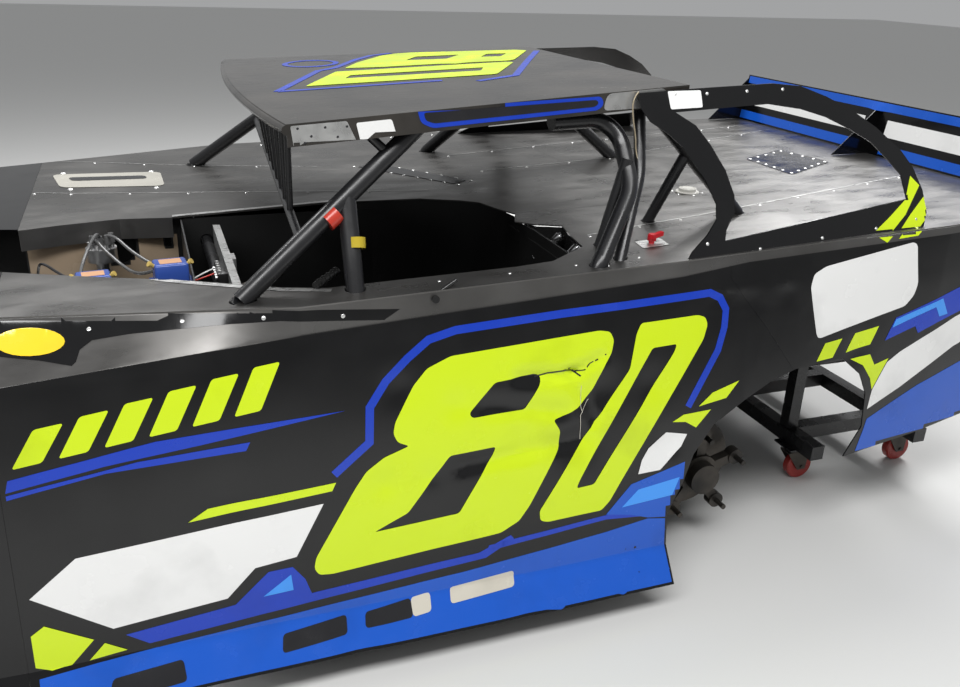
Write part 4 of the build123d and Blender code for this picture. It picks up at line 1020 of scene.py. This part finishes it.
# Engine bay
# A tan sheet closes the bay's right side. Two blue moulded coils with brass terminals are screwed to the
# deck's left rim, each under a blank label.
sticker(
    "bay_sheet",
    [(510, 715), (510, 842), (418, 846), (255, 854), (150, 850), (100, 857), (100, 712)],
    tan_sheet,
    "left",
    panels,
    0.8,
)
coil_blue = vinyl("coil_blue_plastic", (0.03, 0.07, 0.30), 0.35)
brass = vinyl("brass_terminal", (0.50, 0.36, 0.10), 0.3)
boot_grey = vinyl("grey_boot_silicone", (0.10, 0.10, 0.10), 0.5)
label_paper = vinyl("plain_coil_label", (0.55, 0.30, 0.16), 0.5)
coils = [(316, 560, 36), (136, 596, 12)]
for i, (x, y, sunk) in enumerate(coils):
    z = deck_top(x) - sunk
    place = Matrix.Translation((x * mm, y * mm, (z + 2) * mm)) @ Matrix.Rotation(0.1, 4, "Z")
    shape = bmesh.new()
    box(shape, place, (0.080, 0.062, 0.056))
    round_edges(shape, 0.006, 3)
    box(shape, place @ Matrix.Translation((0, 0, -0.024)), (0.098, 0.07, 0.007))
    piece(f"coil_{i + 1}", shape, coil_blue)
    shape = bmesh.new()
    box(shape, place @ Matrix.Translation((0, 0, 0.0284)), (0.052, 0.036, 0.0006))
    piece(f"coil_label_{i + 1}", shape, label_paper)
    shape = bmesh.new()
    for dx in (-36, 36):
        bar(shape, (x + dx, y + 12, z + 22), (x + dx * 1.28, y + 16, z + 30), 5)
        bar(shape, (x + dx * 1.28, y + 16, z + 30), (x + dx * 1.4, y + 18, z + 33), 7)
    piece(f"coil_terminals_{i + 1}", shape, brass)

# Leads and wires
# Thick grey leads leave the distributor in boots and end in the coils. Thin wires run from the terminal
# block, a cable lies along the bay, and a tan cord is tied round the rear hoop.


def lead(name, points, diameter, material):
    # A wire or hose whose ends both go back into the car, hanging in a smooth curve between them
    curve = bpy.data.curves.new(name, "CURVE")
    curve.dimensions = "3D"
    spline = curve.splines.new("NURBS")
    spline.points.add(len(points) - 1)
    for point, (x, y, z) in zip(spline.points, points):
        point.co = (x * mm, y * mm, z * mm, 1)
    spline.order_u = 3
    spline.use_endpoint_u = True
    spline.resolution_u = 12
    made = bpy.data.objects.new(name, curve)
    bpy.context.collection.objects.link(made)
    line = bpy.data.meshes.new_from_object(made)
    bpy.data.meshes.remove(line)
    curve.bevel_depth = diameter * mm / 2
    curve.bevel_resolution = 3
    curve.use_fill_caps = True
    curve.materials.append(material)
    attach(made, "car")


shape = bmesh.new()
boot_ends = [(290, 171, 866), (310, 179, 866), (330, 170, 866), (281, 150, 866)]
for x, y, z in boot_ends:
    bar(shape, (x, y, z), (x, y, z + 26), 10.5, end_radius=7.5)
piece("distributor_boots", shape, boot_grey)
lead(
    "coil_lead_1",
    [
        (310, 179, 890), (312, 205, 912), (330, 300, 905), (350, 420, 880), (350, 500, 876),
        (344, 556, 886), (330, 566, 892),
    ],
    9,
    boot_grey,
)
lead(
    "coil_lead_2",
    [
        (330, 170, 890), (325, 210, 900), (290, 300, 880), (240, 400, 858), (210, 500, 876),
        (176, 570, 905), (170, 596, 915),
    ],
    9,
    boot_grey,
)
lead(
    "coil_lead_3",
    [
        (290, 171, 890), (270, 205, 900), (230, 290, 876), (170, 380, 856), (120, 470, 880),
        (108, 560, 905), (100, 590, 912),
    ],
    9,
    boot_grey,
)
red_wire = vinyl("red_wire", (0.45, 0.03, 0.02), 0.4)
cord_tan = vinyl("tan_cord", (0.30, 0.25, 0.17), 0.8)
lead(
    "block_wire_1",
    [(26, 506, 880), (60, 515, 870), (90, 540, 862), (112, 575, 885), (128, 590, 905)],
    4,
    white,
)
lead(
    "block_wire_2",
    [(26, 546, 880), (55, 550, 872), (85, 565, 868), (110, 590, 890), (124, 600, 908)],
    4,
    red_wire,
)
lead(
    "sail_tether",
    [
        (-1041, 742, 1345), (-1020, 752, 1330), (-1028, 748, 1280), (-1046, 742, 1230), (-1053, 736, 1190),
        (-1055, 752, 1170),
    ],
    4,
    cord_tan,
)
lead(
    "bay_cable_1",
    [(470, 300, 800), (462, 320, 862), (440, 380, 886), (400, 460, 880), (350, 560, 882), (300, 622, 893)],
    7,
    black,
)

# Rubber
# Racing tyres with soft worn tread, and the red treads of the stand's casters. Each is moulded on its
# wheel in one piece.
tyre_rubber, surface = shader("tyre_rubber", (0.018, 0.018, 0.018), 0.8)
uneven_gloss(tyre_rubber, surface, noise(tyre_rubber, 10.0, 8.0), (0.3, 0.65), (0.8, 0.92))
bump(tyre_rubber, surface, noise(tyre_rubber, 120.0, 4.0), 0.3, 0.001)
dress(tyre_rubber, "tyre_left", "tyre_right")
red_tread = vinyl("red_caster_tread", (0.30, 0.03, 0.025), 0.5)
dress(red_tread, "caster_wheel_1", "caster_wheel_2", "caster_wheel_3", "caster_wheel_4")
